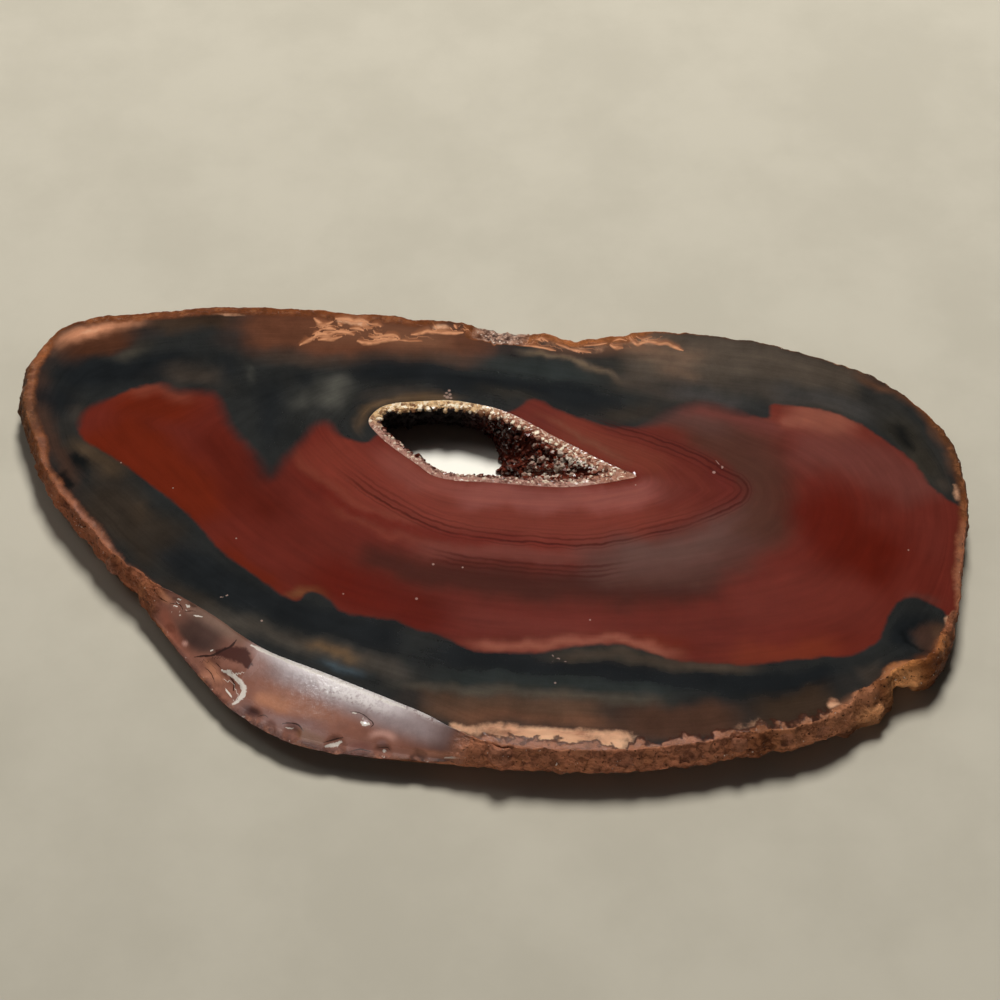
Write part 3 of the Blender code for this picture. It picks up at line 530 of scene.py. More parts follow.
facetCracks = [
    ([(-28.6, -18.7), (-27.6, -18.6), (-26.6, -18.4), (-25.6, -17.7), (-24.8, -17.1), (-24.3, -16.3)], 0.12),
    ([(-24.9, -20.9), (-24.5, -21.8), (-24.6, -22.8)], 0.09),
    ([(-27.6, -19.9), (-26.8, -20.6), (-26.4, -21.6)], 0.05), ([(-26.4, -19.2), (-25.6, -20)], 0.05),
    ([(-15.2, -28.6), (-14.4, -28.4), (-13.4, -28)], 0.09),
    ([(-12.8, -24.9), (-11.8, -25.1), (-10.9, -25.8), (-10.5, -26.3), (-10.9, -26.8)], 0.05),
    ([(-19.4, -26.6), (-18.6, -26.4), (-17.8, -26.6), (-17.3, -27.3)], 0.07),
    ([(-22.2, -25.9), (-21.4, -25.5), (-20.8, -25.9)], 0.05),
    ([(-13, -29.8), (-11.8, -29.4), (-10.6, -29.7)], 0.06),
    ([(-33.2, -10.4), (-32.6, -11.3), (-31.8, -11.9)], 0.08),
    ([(-31.5, -12), (-30.6, -12.2), (-30, -12.8)], 0.06), ([(-29.9, -13), (-28.8, -12.9)], 0.05),
    ([(-10, -29.2), (-9.2, -29.1), (-8.8, -29.5)], 0.05),
]

# peach ground near the rim: points, half width, softness, strength
paleGround = [
    ([(-45.4, 24.3), (-43.6, 25), (-41.8, 25.7)], 0.2, 0.8, 0.55),
    ([(-40, 26.6), (-36, 27)], 0.1, 0.7, 0.45),
    ([(-31, 27.4), (-28.6, 27.5), (-26.2, 27.3)], 0.1, 0.4, 0.7),
    ([(-16.8, 26.6), (-15.4, 26.5), (-14, 26.2), (-12, 25.8)], 0.35, 0.6, 0.95),
    ([(-6.2, 25.7), (-4.6, 25.5), (-3.2, 25.6)], 0.3, 0.7, 0.6),
    ([(-2, -27.2), (0.6, -27.3), (4, -27.5), (8, -27.9), (12, -28.1), (15.6, -28.1)], 0.9, 0.8, 1),
    ([(-3.6, -26), (-1.6, -26.8), (0.6, -27.4)], 0.3, 0.6, 0.9),
    ([(15, -28.7), (17.6, -28.6), (20.4, -28.4)], 0.2, 0.6, 0.6),
    ([(23.6, -27.4), (24.8, -26.6), (26.2, -26.2), (27.4, -26.5), (28.4, -27.2)], 0.35, 0.9, 0.55),
    ([(30.4, -27), (33, -26.2), (35.6, -25.1)], 0.3, 0.6, 0.45),
    ([(34.1, -23.9), (34.9, -24.7)], 0.5, 0.6, 1),
    ([(46.5, -14), (46.6, -15.2)], 0.25, 0.6, 0.62),
    ([(49.5, 3), (49.6, 1.4)], 0.2, 0.6, 0.65),
    ([(5, 23.6), (8, 23), (11, 22.5), (14, 22.8), (18, 23.6), (21, 23.4)], 0.5, 0.9, 0.35),
]
# along the facet's upper edge pale grains are painted as a glittering highlight, and its left end is dull
facetGlitter = [
    ([(-22.4, -16.9), (-18.8, -18.6), (-14.6, -20.6), (-10.5, -22.5), (-6.5, -24.4),
     (-3, -26.1)], 0.3, 0.6, 1),
    ([(-16.4, -21.4), (-13.4, -22.4), (-10.8, -23.4), (-8.2, -24.6)], 0.7, 1.1, 0.7),
]
facetDull = [([(-34, -10), (-30, -14), (-26, -18), (-24.6, -22)], 2.8, 1.6, 1)]
dullBefore = -22.0      # left of this the facet is a broken face without polish
# the wavering peach ribbons near the far rim: points, half width
peachRibbons = [
    ([(-20.2, 22.9), (-19.4, 23.5), (-18.9, 24.1), (-18.3, 24.5), (-17.5, 24.55), (-16.9, 24.5),
    (-16.2, 24.85), (-15.5, 24.7), (-14.9, 24.6), (-14.3, 24.3)], 0.15),
    ([(-18.3, 23.65), (-17.4, 23.8), (-16.6, 23.8), (-15.7, 24.1)], 0.14),
    ([(-18.9, 24.5), (-18, 25.1)], 0.08),
    ([(-18.9, 26.9), (-18.4, 26.3), (-18, 25.9), (-17.3, 26), (-16.8, 26.3)], 0.16),
    ([(-18.2, 25.2), (-17.2, 25.35), (-16.3, 25.1)], 0.12),
    ([(-14.9, 25.2), (-14, 25.35), (-13.2, 25)], 0.14),
    ([(-16.6, 26.7), (-15.4, 26.75), (-14.5, 26.4), (-13.6, 26.5), (-12.7, 26.2)], 0.2),
    ([(-16.2, 26.1), (-15.8, 25.6)], 0.12), ([(-13.6, 26.1), (-12.9, 25.5), (-12.3, 25.3)], 0.16),
    ([(-12.6, 26), (-11.6, 25.8), (-11.4, 25.5)], 0.14),
    ([(-14, 23.6), (-13.2, 23.25), (-12.4, 23.2), (-11.4, 23.5), (-10.4, 23.7), (-9.4, 23.6)], 0.18),
    ([(-9.4, 23.6), (-8.2, 23.5), (-6.8, 23.4)], 0.08),
    ([(-12.8, 24.2), (-12.2, 24), (-11.3, 24.1), (-10.5, 24.2), (-9.8, 24.2), (-9.3, 23.8)], 0.12),
    ([(-12.2, 25), (-11.9, 24.5), (-11.2, 24.4)], 0.07), ([(-8, 24.5), (-7, 24.6), (-6.4, 24.9), (-5.6, 24.8),
    (-4.6, 24.8), (-3.6, 24.75), (-2.2, 24.8)], 0.14), ([(-5.5, 25.6), (-5.3, 25.7)], 0.22),
    ([(-3.3, 26.1), (-3, 25.4)], 0.09), ([(-2.1, 25.7), (-1.4, 25)], 0.12),
    ([(5.2, 24.5), (6.3, 23.9), (7.2, 23.3)], 0.08), ([(4.9, 23.6), (5.8, 23.8), (6.6, 23.2)], 0.07),
    ([(7.9, 23.1), (9, 22.6), (9.8, 22.1), (10.4, 21.7)], 0.08),
    ([(9.4, 22.4), (10.5, 22), (11.7, 21.8)], 0.08), ([(4.4, 22.8), (5.6, 22.6), (6.8, 22.3), (8, 22)], 0.07),
    ([(11, 22.8), (12.5, 22.8), (13.6, 23)], 0.05), ([(13.8, 22.8), (14.3, 22.4), (15.3, 22.4)], 0.16),
    ([(14.2, 23.3), (15, 23.7), (15.8, 23.5)], 0.06), ([(16, 24.2), (16.5, 23.4), (17, 22.9), (17.6, 23.4),
    (18.4, 23.5), (19.4, 23.1), (20.3, 23.1), (21, 22.6), (22, 22.1)], 0.11),
    ([(16.8, 24.3), (17.6, 23.9), (18.6, 24.2)], 0.05),
    ([(39.9, -21.3), (40.3, -20.7), (41.2, -20.3), (42.4, -20), (43.2, -19.9)], 0.28),
]
# the browner ground that the ribbons lie on
ribbonGround = [
    ([(-19.4, 23.8), (-15.6, 25), (-12, 24.8), (-8, 24.4), (-3, 25)], 1.4, 1.6, 1),
    ([(5, 23.6), (9, 22.8), (12.6, 22.6), (16, 23.2), (20.4, 23.4)], 0.9, 1.2, 1),
]
# parts of the loop where its fine dark lines show
ringShows = [
    ([(-14.5, 4.6), (-9, 0.2), (0, -3.7), (10, -4.7), (20, -2.4), (27.1, 1.3), (27.2, 3.8), (23.3, 6.9),
     (16.7, 10.2), (12, 12.3)], 1.3, 1.6, 1),
]
secondLines = [([(-6, -6.3), (0, -7.4), (8, -8), (15, -7.8)], 1.3, 1.6, 1)]
# specks of dust on the polish: x, y, radius
dustSpecks = [
    (-25.3, -3.8, 0.09), (-5, -7.1, 0.13), (-2, -7.5, 0.1), (-6.6, -11.4, 0.14), (10.8, -14, 0.1),
    (24.3, 4.9, 0.17), (25.2, 5.5, 0.09), (7.2, -21.5, 0.11), (-22, -14.1, 0.12), (43.6, -5.3, 0.09),
    (-3.9, 15.3, 0.2), (-3.6, 15.7, 0.17), (-4, 15.9, 0.14), (-3.7, 16.25, 0.16), (-3.5, 15.2, 0.15),
    (-4.2, 15.5, 0.12), (-14, -10.8, 0.09), (16, 3.2, 0.08), (-38.2, 6.2, 0.08), (-32.4, 2.8, 0.08),
]
fibreHalf = 0.07        # half width of a fibre
dustFibres = [
    [(13.3, -2.7), (13.6, -3.1), (13.75, -3.5), (13.6, -3.7)],
    [(6.8, -18.1), (7.4, -18.5), (8, -18.9), (8.5, -19)],
    [(7, -18), (7.1, -18.8), (6.9, -19.4)],
    [(-26.4, -11.2), (-25.9, -11.1), (-25.4, -10.8)],
    [(23.5, 8.2), (24.1, 7), (24.8, 6.2), (25.3, 5.6)],
]

# fine dark lines: distance out from the loop, half width, strength
ringLines = [(0, 0.14, 0.75), (-0.75, 0.12, 0.6), (-1.35, 0.1, 0.4), (0.45, 0.09, 0.35), (-2.1, 0.1, 0.25)]
secondRingLines = [
    (2.7, 0.15, 0.6), (3.3, 0.12, 0.5), (3.85, 0.14, 0.55), (4.6, 0.16, 0.35), (5.2, 0.12, 0.25),
]
# where the edge of the red stone is soft, not crisp
softEdges = [
    ([(-37, 16.6), (-30, 16), (-27.5, 12), (-24, 7.5), (-22, 4.5), (-20, 8), (-18, 11.5),
     (-14, 9.5)], 1.5, 1.5, 0.75),
    ([(-25, 8.6), (-22.2, 4.6), (-19.8, 8.6)], 1.6, 1.2, 0.9),
    ([(16, 11.2), (20, 13.2), (26, 13.8), (29, 12.6)], 1.5, 1.5, 1),
    ([(-43, 10), (-43, 13), (-40, 15.5)], 1, 1, 0.5),
]
# where the rusty edge is wide, where it is scalloped and where it is dark
wideRim = [
    ([(-36, -6), (-40, -2), (-44, 2.4), (-46.5, 6)], 2, 1, 0.45),
    ([(-46, 5), (-48.5, 10), (-49.6, 15), (-49.3, 20), (-47.6, 25)], 2, 1, 0.7),
    ([(-46, 26), (-40, 27.4), (-34, 28.2), (-28, 28.6), (-20, 28.2), (-12, 27.4), (-4, 26.4)], 2, 2, 0.66),
    ([(47, 14), (49.8, 9), (50.4, 4), (50.2, -1), (49, -6), (48, -12)], 2, 2, 0.45),
    ([(-1, -28.6), (6, -29.2), (14, -29.2), (22, -28.4), (30, -26.8), (36, -24.8)], 2, 1, 0.42),
    ([(36, -25), (38.5, -23), (40, -21.3), (42, -20), (44, -19.2), (46, -16.4), (47.2, -13.6)], 2, 1, 0.5),
    ([(2, 25), (8, 24), (14, 24), (19, 24.6)], 2, 1.5, 0.66),
]
scallopRim = [([(-2, -28.2), (6, -29.2), (14, -29.2), (22, -28.4), (30, -26.8), (36, -24.8)], 2.2, 1, 1)]
darkRim = [
    ([(14, 24.6), (25, 24.3), (34, 22.2), (42, 18.6), (47, 14)], 2, 2, 0.9),
    ([(-40, 27.8), (-30, 28.8), (-20, 28.4), (-9, 27.4), (2, 26)], 2, 2, 0.6),
    ([(50.6, 4), (50.2, -1), (49, -6), (48, -12), (46, -19)], 2, 2, 0.6),
]
drusyGround = [([(-1.2, 25.8), (2, 24.9), (5.4, 24)], 2.6, 1.4, 1)]
# tones of the rind, round the rim
rindWashes = [
    ("rustBrown", [(-48, 10), (-50, 16), (-49, 22)], 3, 1.5, 0.9),
    ("rindWarm", [(-47, 6), (-43, 0), (-39, -5), (-35, -9), (-32, -12)], 3, 1.5, 0.9),
    ("rindPlum", [(-32, -14), (-28, -20), (-18, -26.5), (-8, -29.5)], 4, 3, 0.9),
    ("rindMauve", [(-6, -28), (3, -29.5), (12, -29.8), (20, -29.2), (27, -27.9)], 3, 1.5, 0.95),
    ("rindTan", [(27, -27.8), (31, -27), (35, -25.3), (38.4, -23.4)], 2.2, 1, 0.9),
    ("rindTan", [(35.6, -24.6), (38, -23.4), (39.6, -22.4)], 1.2, 0.9, 0.9),
    ("rindOrange", [(40, -21.6), (40.7, -20.3), (42, -19.6), (43.6, -19.2)], 0.9, 0.7, 1),
    ("rindGold", [(40.2, -21.9), (41, -20.9), (42.4, -20.5), (43.8, -20.3)], 0.5, 0.7, 0.9),
    ("rindGold", [(36.4, -24.7), (38.6, -23.7), (40, -22.6)], 0.3, 0.8, 0.45),
    ("rustPlain", [(44.4, -19.4), (45.4, -18.2), (46.4, -16.4)], 0.9, 0.8, 0.9),
    ("rindOrange", [(45.4, -17.4), (46.1, -16)], 0.3, 0.5, 0.7),
    ("rindSalmon", [(46.6, -17), (47.4, -14), (48.4, -9), (49.5, -4), (50.2, -1)], 1.6, 1, 0.9),
    ("rustBrown", [(50.6, 1), (50.6, 6), (49.6, 10), (47, 14)], 1.8, 1.5, 0.9),
    ("rindShade", [(47, 14.4), (43, 18), (37, 21.2), (30, 23.6), (22, 25)], 1.6, 1.5, 0.95),
    ("rustGlow", [(-48.9, 14), (-48.8, 18), (-48.2, 21.6), (-46.6, 24.6)], 0.3, 1, 0.7),
    ("rindSalmon", [(-41.8, 0.4), (-39.4, -2.6), (-36.4, -5.8), (-33.4, -8.6), (-32, -10.4)], 0.5, 1, 0.85),
    ("rustGlow", [(-47.6, 10.4), (-46, 6.6), (-44.2, 3.4), (-42.6, 0.8)], 0.3, 0.9, 0.7),
    ("rindOchre", [(20, 24.9), (15, 24.5), (9, 24), (5, 24.9)], 2, 1.2, 0.9),
    ("rustPlain", [(-4, 26.6), (-12, 27.6), (-22, 28.6), (-32, 28.5), (-42, 27.4), (-47, 25.6)], 2, 1.4, 0.9),
]
# lit crystals on the slanting wall of the hollow
litSlopes = [
    ([(3.4, 4.9), (5.6, 5.6), (8.6, 6)], 1, 1, 0.95), ([(8, 7.4), (10.8, 6.4), (13.4, 5.2)], 0.8, 0.8, 0.8),
    ([(3, 8.4), (7, 7.6), (12, 6)], 2.6, 1.4, 0.5),
]


def outwardOf(loop, reach):
    # the level direction away from the stone at each point of the loop
    ahead = np.roll(loop, -reach, axis=0)[:, :2] - np.roll(loop, reach, axis=0)[:, :2]
    out = np.stack([ahead[:, 1], -ahead[:, 0]], 1)
    return out / np.hypot(out[:, 0], out[:, 1])[:, None]


def lumps(x, y, z, size, seed, reach):
    # seeded natural roughness between about -reach and reach
    return reach * noise.fractal(Vector((x / size + seed, y / size - seed, z / size)), 0.7, 2.1, 4)


def breakAt(x, y):
    # how wide, deep and rough the edge is broken there
    width, drop, rough = slab["edgeWidth"], slab["edgeDrop"], 0.0
    for bx, by, reach, bWidth, bDrop, bRough in rimBreaks:
        near = math.exp(-((math.hypot(x - bx, y - by) / reach) ** 4))
        width = max(width, bWidth * near)
        drop = max(drop, bDrop * near)
        rough = max(rough, bRough * near)
    return width, drop, rough


def seenAt(y, z):
    # where a point appears on the plane of the polished face, looking slantwise from the near side
    return y - slab["slant"] * (slab["thickness"] - z)


def smoothAt(reach):
    # 1 on the slanting facet, 0 on the rough rind
    return float(easeStep(reach, *slab["facetStart"]))


def rindReach(reach, level, smooth, flare):
    # how far the rind stands out past the edge: level is 1 at the edge, 0 at the widest line, -1 at the foot
    if level >= 0:
        bulge = slab["facetBulge"] * smooth + 1 - smooth
        return reach * ((1 - bulge) * (1 - level) + bulge * math.sin(math.pi / 2 * (1 - level)))
    under = slab["undercut"] + slab["wideUndercut"] * max(0.0, reach - 1)
    under += slab["narrowUndercut"] * min(0.0, reach)
    return reach - under * (1 - flare) * (0.2 * -level + 0.8 * level**2)


def rindRings():
    # rings from the polished face's edge, over its softened edge and down the rind to the foot
    loop = evenLoop(rimRows, slab["rimSteps"])
    facet = easeStep(loop[:, 2], *slab["facetStart"])[:, None]
    out = outwardOf(loop, 3) * (1 - facet) + outwardOf(loop, 24) * facet
    out /= np.hypot(out[:, 0], out[:, 1])[:, None]
    top = slab["thickness"]
    levels = [1 - (k + 1) / slab["upperRows"] for k in range(slab["upperRows"])]
    levels += [-(k + 1) / slab["lowerRows"] for k in range(slab["lowerRows"])]
    rings = [("edge", share) for share in slab["edgeCurve"]]
    rings += [("side", level) for level in levels]
    flares = brushWeight(*loop[:, :2].T, flaredRim, False)
    made = []
    for kind, share in rings:
        ring = []
        for k in range(len(loop)):
            x, y, reach = loop[k]
            ox, oy = out[k]
            smooth = smoothAt(reach)
            lively = 1 - slab["facetCalm"] * smooth
            width, drop, rough = (part * lively for part in breakAt(x, y))
            wave = lumps(x, y, 0, *rindSway["edgeFine"]) + lumps(x, y, 0, *rindSway["edgeBroad"])
            wave *= lively
            width *= 1 + lumps(x, y, 0, *rindSway["edgeWidth"]) * lively
            drop = min(slab["mostDrop"], drop * (1 + lumps(x, y, 0, *rindSway["edgeDrop"]) * lively))
            ex, ey = x + ox * wave, y + oy * wave
            if kind == "edge":
                inset = width * (1 - share[0])
                px, py = ex - ox * inset, ey - oy * inset
                pz = top - drop * share[1]
                if rough and 0 < share[0] < 1:
                    ground = 0.55 + lumps(px, py, 0, *rindSway["brokenGround"])
                    pz -= rough * ground * math.sin(math.pi * share[0])
                ring.append((px, py, min(pz, top)))
                continue
            edgeZ = top - drop
            away = rindReach(reach, share, smooth, flares[k])
            girdle = slab["girdle"]
            pz = girdle + (edgeZ - girdle) * share if share >= 0 else girdle * (1 + share)
            lumpy = slab["rindRough"] * (1 - smooth * (0.72 + 0.25 * easeStep(share, 0.0, 0.16)))
            lumpy *= min(1.0, 0.3 + 2.4 * (1 - share)) * (1.0 if share > -0.97 else 0.5)
            big = lumps(ex, ey, pz * 1.6, *rindSway["bigLumps"])
            small = lumps(ex, ey, pz * 1.3, *rindSway["smallLumps"])
            away += lumpy * (big + small)
            ring.append((ex + ox * away, ey + oy * away, pz))
        made.append(np.array(ring))
    return loop, made, levels


def biteChips(grid, chips):
    # presses a shell-shaped chip into the rind at each place; the grid is rings by points
    flat = grid.reshape(-1, 3)
    across = np.roll(grid, -1, 1) - np.roll(grid, 1, 1)
    downward = np.gradient(grid, axis=0)
    normals = np.cross(across, downward).reshape(-1, 3)
    normals /= np.linalg.norm(normals, axis=1)[:, None] + 1e-9
    bitten = np.zeros(len(flat))
    upper = slab["upperRows"] * grid.shape[1]
    for x, y, radius, depth in chips:
        nearest = np.argmin(np.hypot(flat[:upper, 0] - x, seenAt(flat[:upper, 1], flat[:upper, 2]) - y))
        normal = normals[nearest] * (1 if normals[nearest][2] > 0 else -1)
        ball = (radius**2 + depth**2) / (2 * depth)
        middle = flat[nearest] + normal * (ball - depth)
        away = flat - middle
        far = np.linalg.norm(away, axis=1)
        close = np.flatnonzero(far < 1.2 * ball)
        uneven = np.full(len(flat), ball)
        uneven[close] *= [1 + lumps(*flat[v], *slab["chipSway"]) for v in close]
        inside = far < uneven
        flat[inside] = middle + away[inside] / far[inside][:, None] * uneven[inside][:, None]
        bitten = np.maximum(bitten, easeStep(uneven - far, 0.0, 0.1) * inside)
    return bitten


def wallAt(loop, down):
    # the hollow's wall at this share of the way down
    return loop[:, :2] * (1 - down) + loop[:, 2:4] * down


def evenSpots(outer, inner, spacing, least, most):
    # evenly spread points between two loops, at distances from the outer one between least and most
    low, high = outer.min(0), outer.max(0)
    spots = []
    for k, rowY in enumerate(np.arange(low[1], high[1], spacing * math.sqrt(3) / 2)):
        xs = np.arange(low[0] + (k % 2) * spacing / 2, high[0], spacing)
        spots.append(np.column_stack([xs, np.full(len(xs), rowY)]))
    x, y = np.concatenate(spots).T
    clear = distanceTo(x, y, outer, True)
    near = insideOf(x, y, outer) & ~insideOf(x, y, inner) & (clear > least) & (clear <= most)
    x, y = x[near], y[near]
    away = distanceTo(x, y, inner, True) > spacing * 0.55
    return np.column_stack([x[away], y[away]])


def fillFlat(outer, inner, spacing, edgeSpacing, finer):
    # triangles over the flat ground between two loops, with closer points near the outer one
    outerFlat, innerFlat = outer[:, :2], inner[:, :2]
    spots = np.concatenate([
        evenSpots(outerFlat[::3], innerFlat, edgeSpacing, edgeSpacing * 0.6, slab["edgeZone"]),
        evenSpots(outerFlat[::3], innerFlat, spacing, slab["edgeZone"] + spacing * 0.4, 99)])
    if finer:
        fine = slab["ribbonSpacing"]
        dense = evenSpots(outerFlat[::3], innerFlat, fine, fine, 2 * slab["edgeZone"])
        spots = spots[brushWeight(*spots.T, ribbonGround) < 0.3]
        spots = np.concatenate([spots, dense[brushWeight(*dense.T, ribbonGround) > 0.32]])
    for x, y, radius in finer:
        near = np.hypot(spots[:, 0] - x, spots[:, 1] - y)
        spots = spots[near > radius * 2.6]
        rounds = [(x, y)]
        for reach in (radius * share for share in (0.8, 1.5, 2.2)):
            turns = (turn * math.pi / 4 for turn in range(8))
            rounds += [(x + reach * math.cos(turn), y + reach * math.sin(turn)) for turn in turns]
        spots = np.concatenate([spots, np.array(rounds)])
    points = [Vector(p) for p in outerFlat.tolist()] + [Vector(p) for p in innerFlat.tolist()]
    points += [Vector(p) for p in spots.tolist()]
    countOut, countIn = len(outer), len(inner)
    edges = [(k, (k + 1) % countOut) for k in range(countOut)]
    edges += [(countOut + k, countOut + (k + 1) % countIn) for k in range(countIn)]
    placed, _, faces, origins, _, _ = delaunay_2d_cdt(points, edges, [], 0, 1e-6)
    first = [o[0] if o else -1 for o in origins]
    triangles = np.array([[first[v] for v in f] for f in faces])
    triangles = triangles[(triangles >= 0).all(1)]
    flat = np.concatenate([outerFlat, innerFlat, spots])
    middle = flat[triangles].mean(1)
    keep = insideOf(middle[:, 0], middle[:, 1], outerFlat) & ~insideOf(middle[:, 0], middle[:, 1], innerFlat)
    triangles = triangles[keep]
    a, b, c = flat[triangles[:, 0]], flat[triangles[:, 1]], flat[triangles[:, 2]]
    turn = (b[:, 0] - a[:, 0]) * (c[:, 1] - a[:, 1]) - (b[:, 1] - a[:, 1]) * (c[:, 0] - a[:, 0])
    triangles[turn < 0] = triangles[turn < 0][:, ::-1]
    return spots, triangles


def stripFaces(first, second, count):
    # triangles between two closed rings of points
    k = np.arange(count)
    n = (k + 1) % count
    return np.concatenate([np.column_stack([first + k, second + k, second + n]),
                           np.column_stack([first + k, second + n, first + n])])


def meshPiece(name, points, triangles, smooth):
    mesh = bpy.data.meshes.new(name)
    mesh.from_pydata((points * mm).tolist(), [], triangles.tolist())
    mesh.validate()
    mesh.polygons.foreach_set("use_smooth", [smooth] * len(mesh.polygons))
    mesh.update()
    piece = bpy.data.objects.new(name, mesh)
    bpy.context.scene.collection.objects.link(piece)
    return piece


def addField(mesh, name, values):
    field = mesh.attributes.new(name, "FLOAT", "POINT")
    field.data.foreach_set("value", np.asarray(values, float))


def addTone(mesh, name, colours):
    field = mesh.attributes.new(name, "FLOAT_COLOR", "POINT")
    field.data.foreach_set("color", np.column_stack([colours, np.ones(len(colours))]).ravel())


def washedTone(x, y, under, washes):
    # the tone at each point, with the washes laid over the ground tone in turn
    colour = np.tile(linearTone(under), (len(x), 1))
    for tone, points, width, soft, strength in washes:
        weight = brushWeight(x, y, [(points, width, soft, strength)])[:, None]
        colour = colour * (1 - weight) + linearTone(tone) * weight
    return colour


def facetTurn(loop):
    # the reach of the rind's widest line by the direction from the middle,
    # to find the ground beside the facet
    turns = np.arctan2(loop[:, 1], loop[:, 0])
    order = np.argsort(turns)
    return turns[order], loop[order, 2]


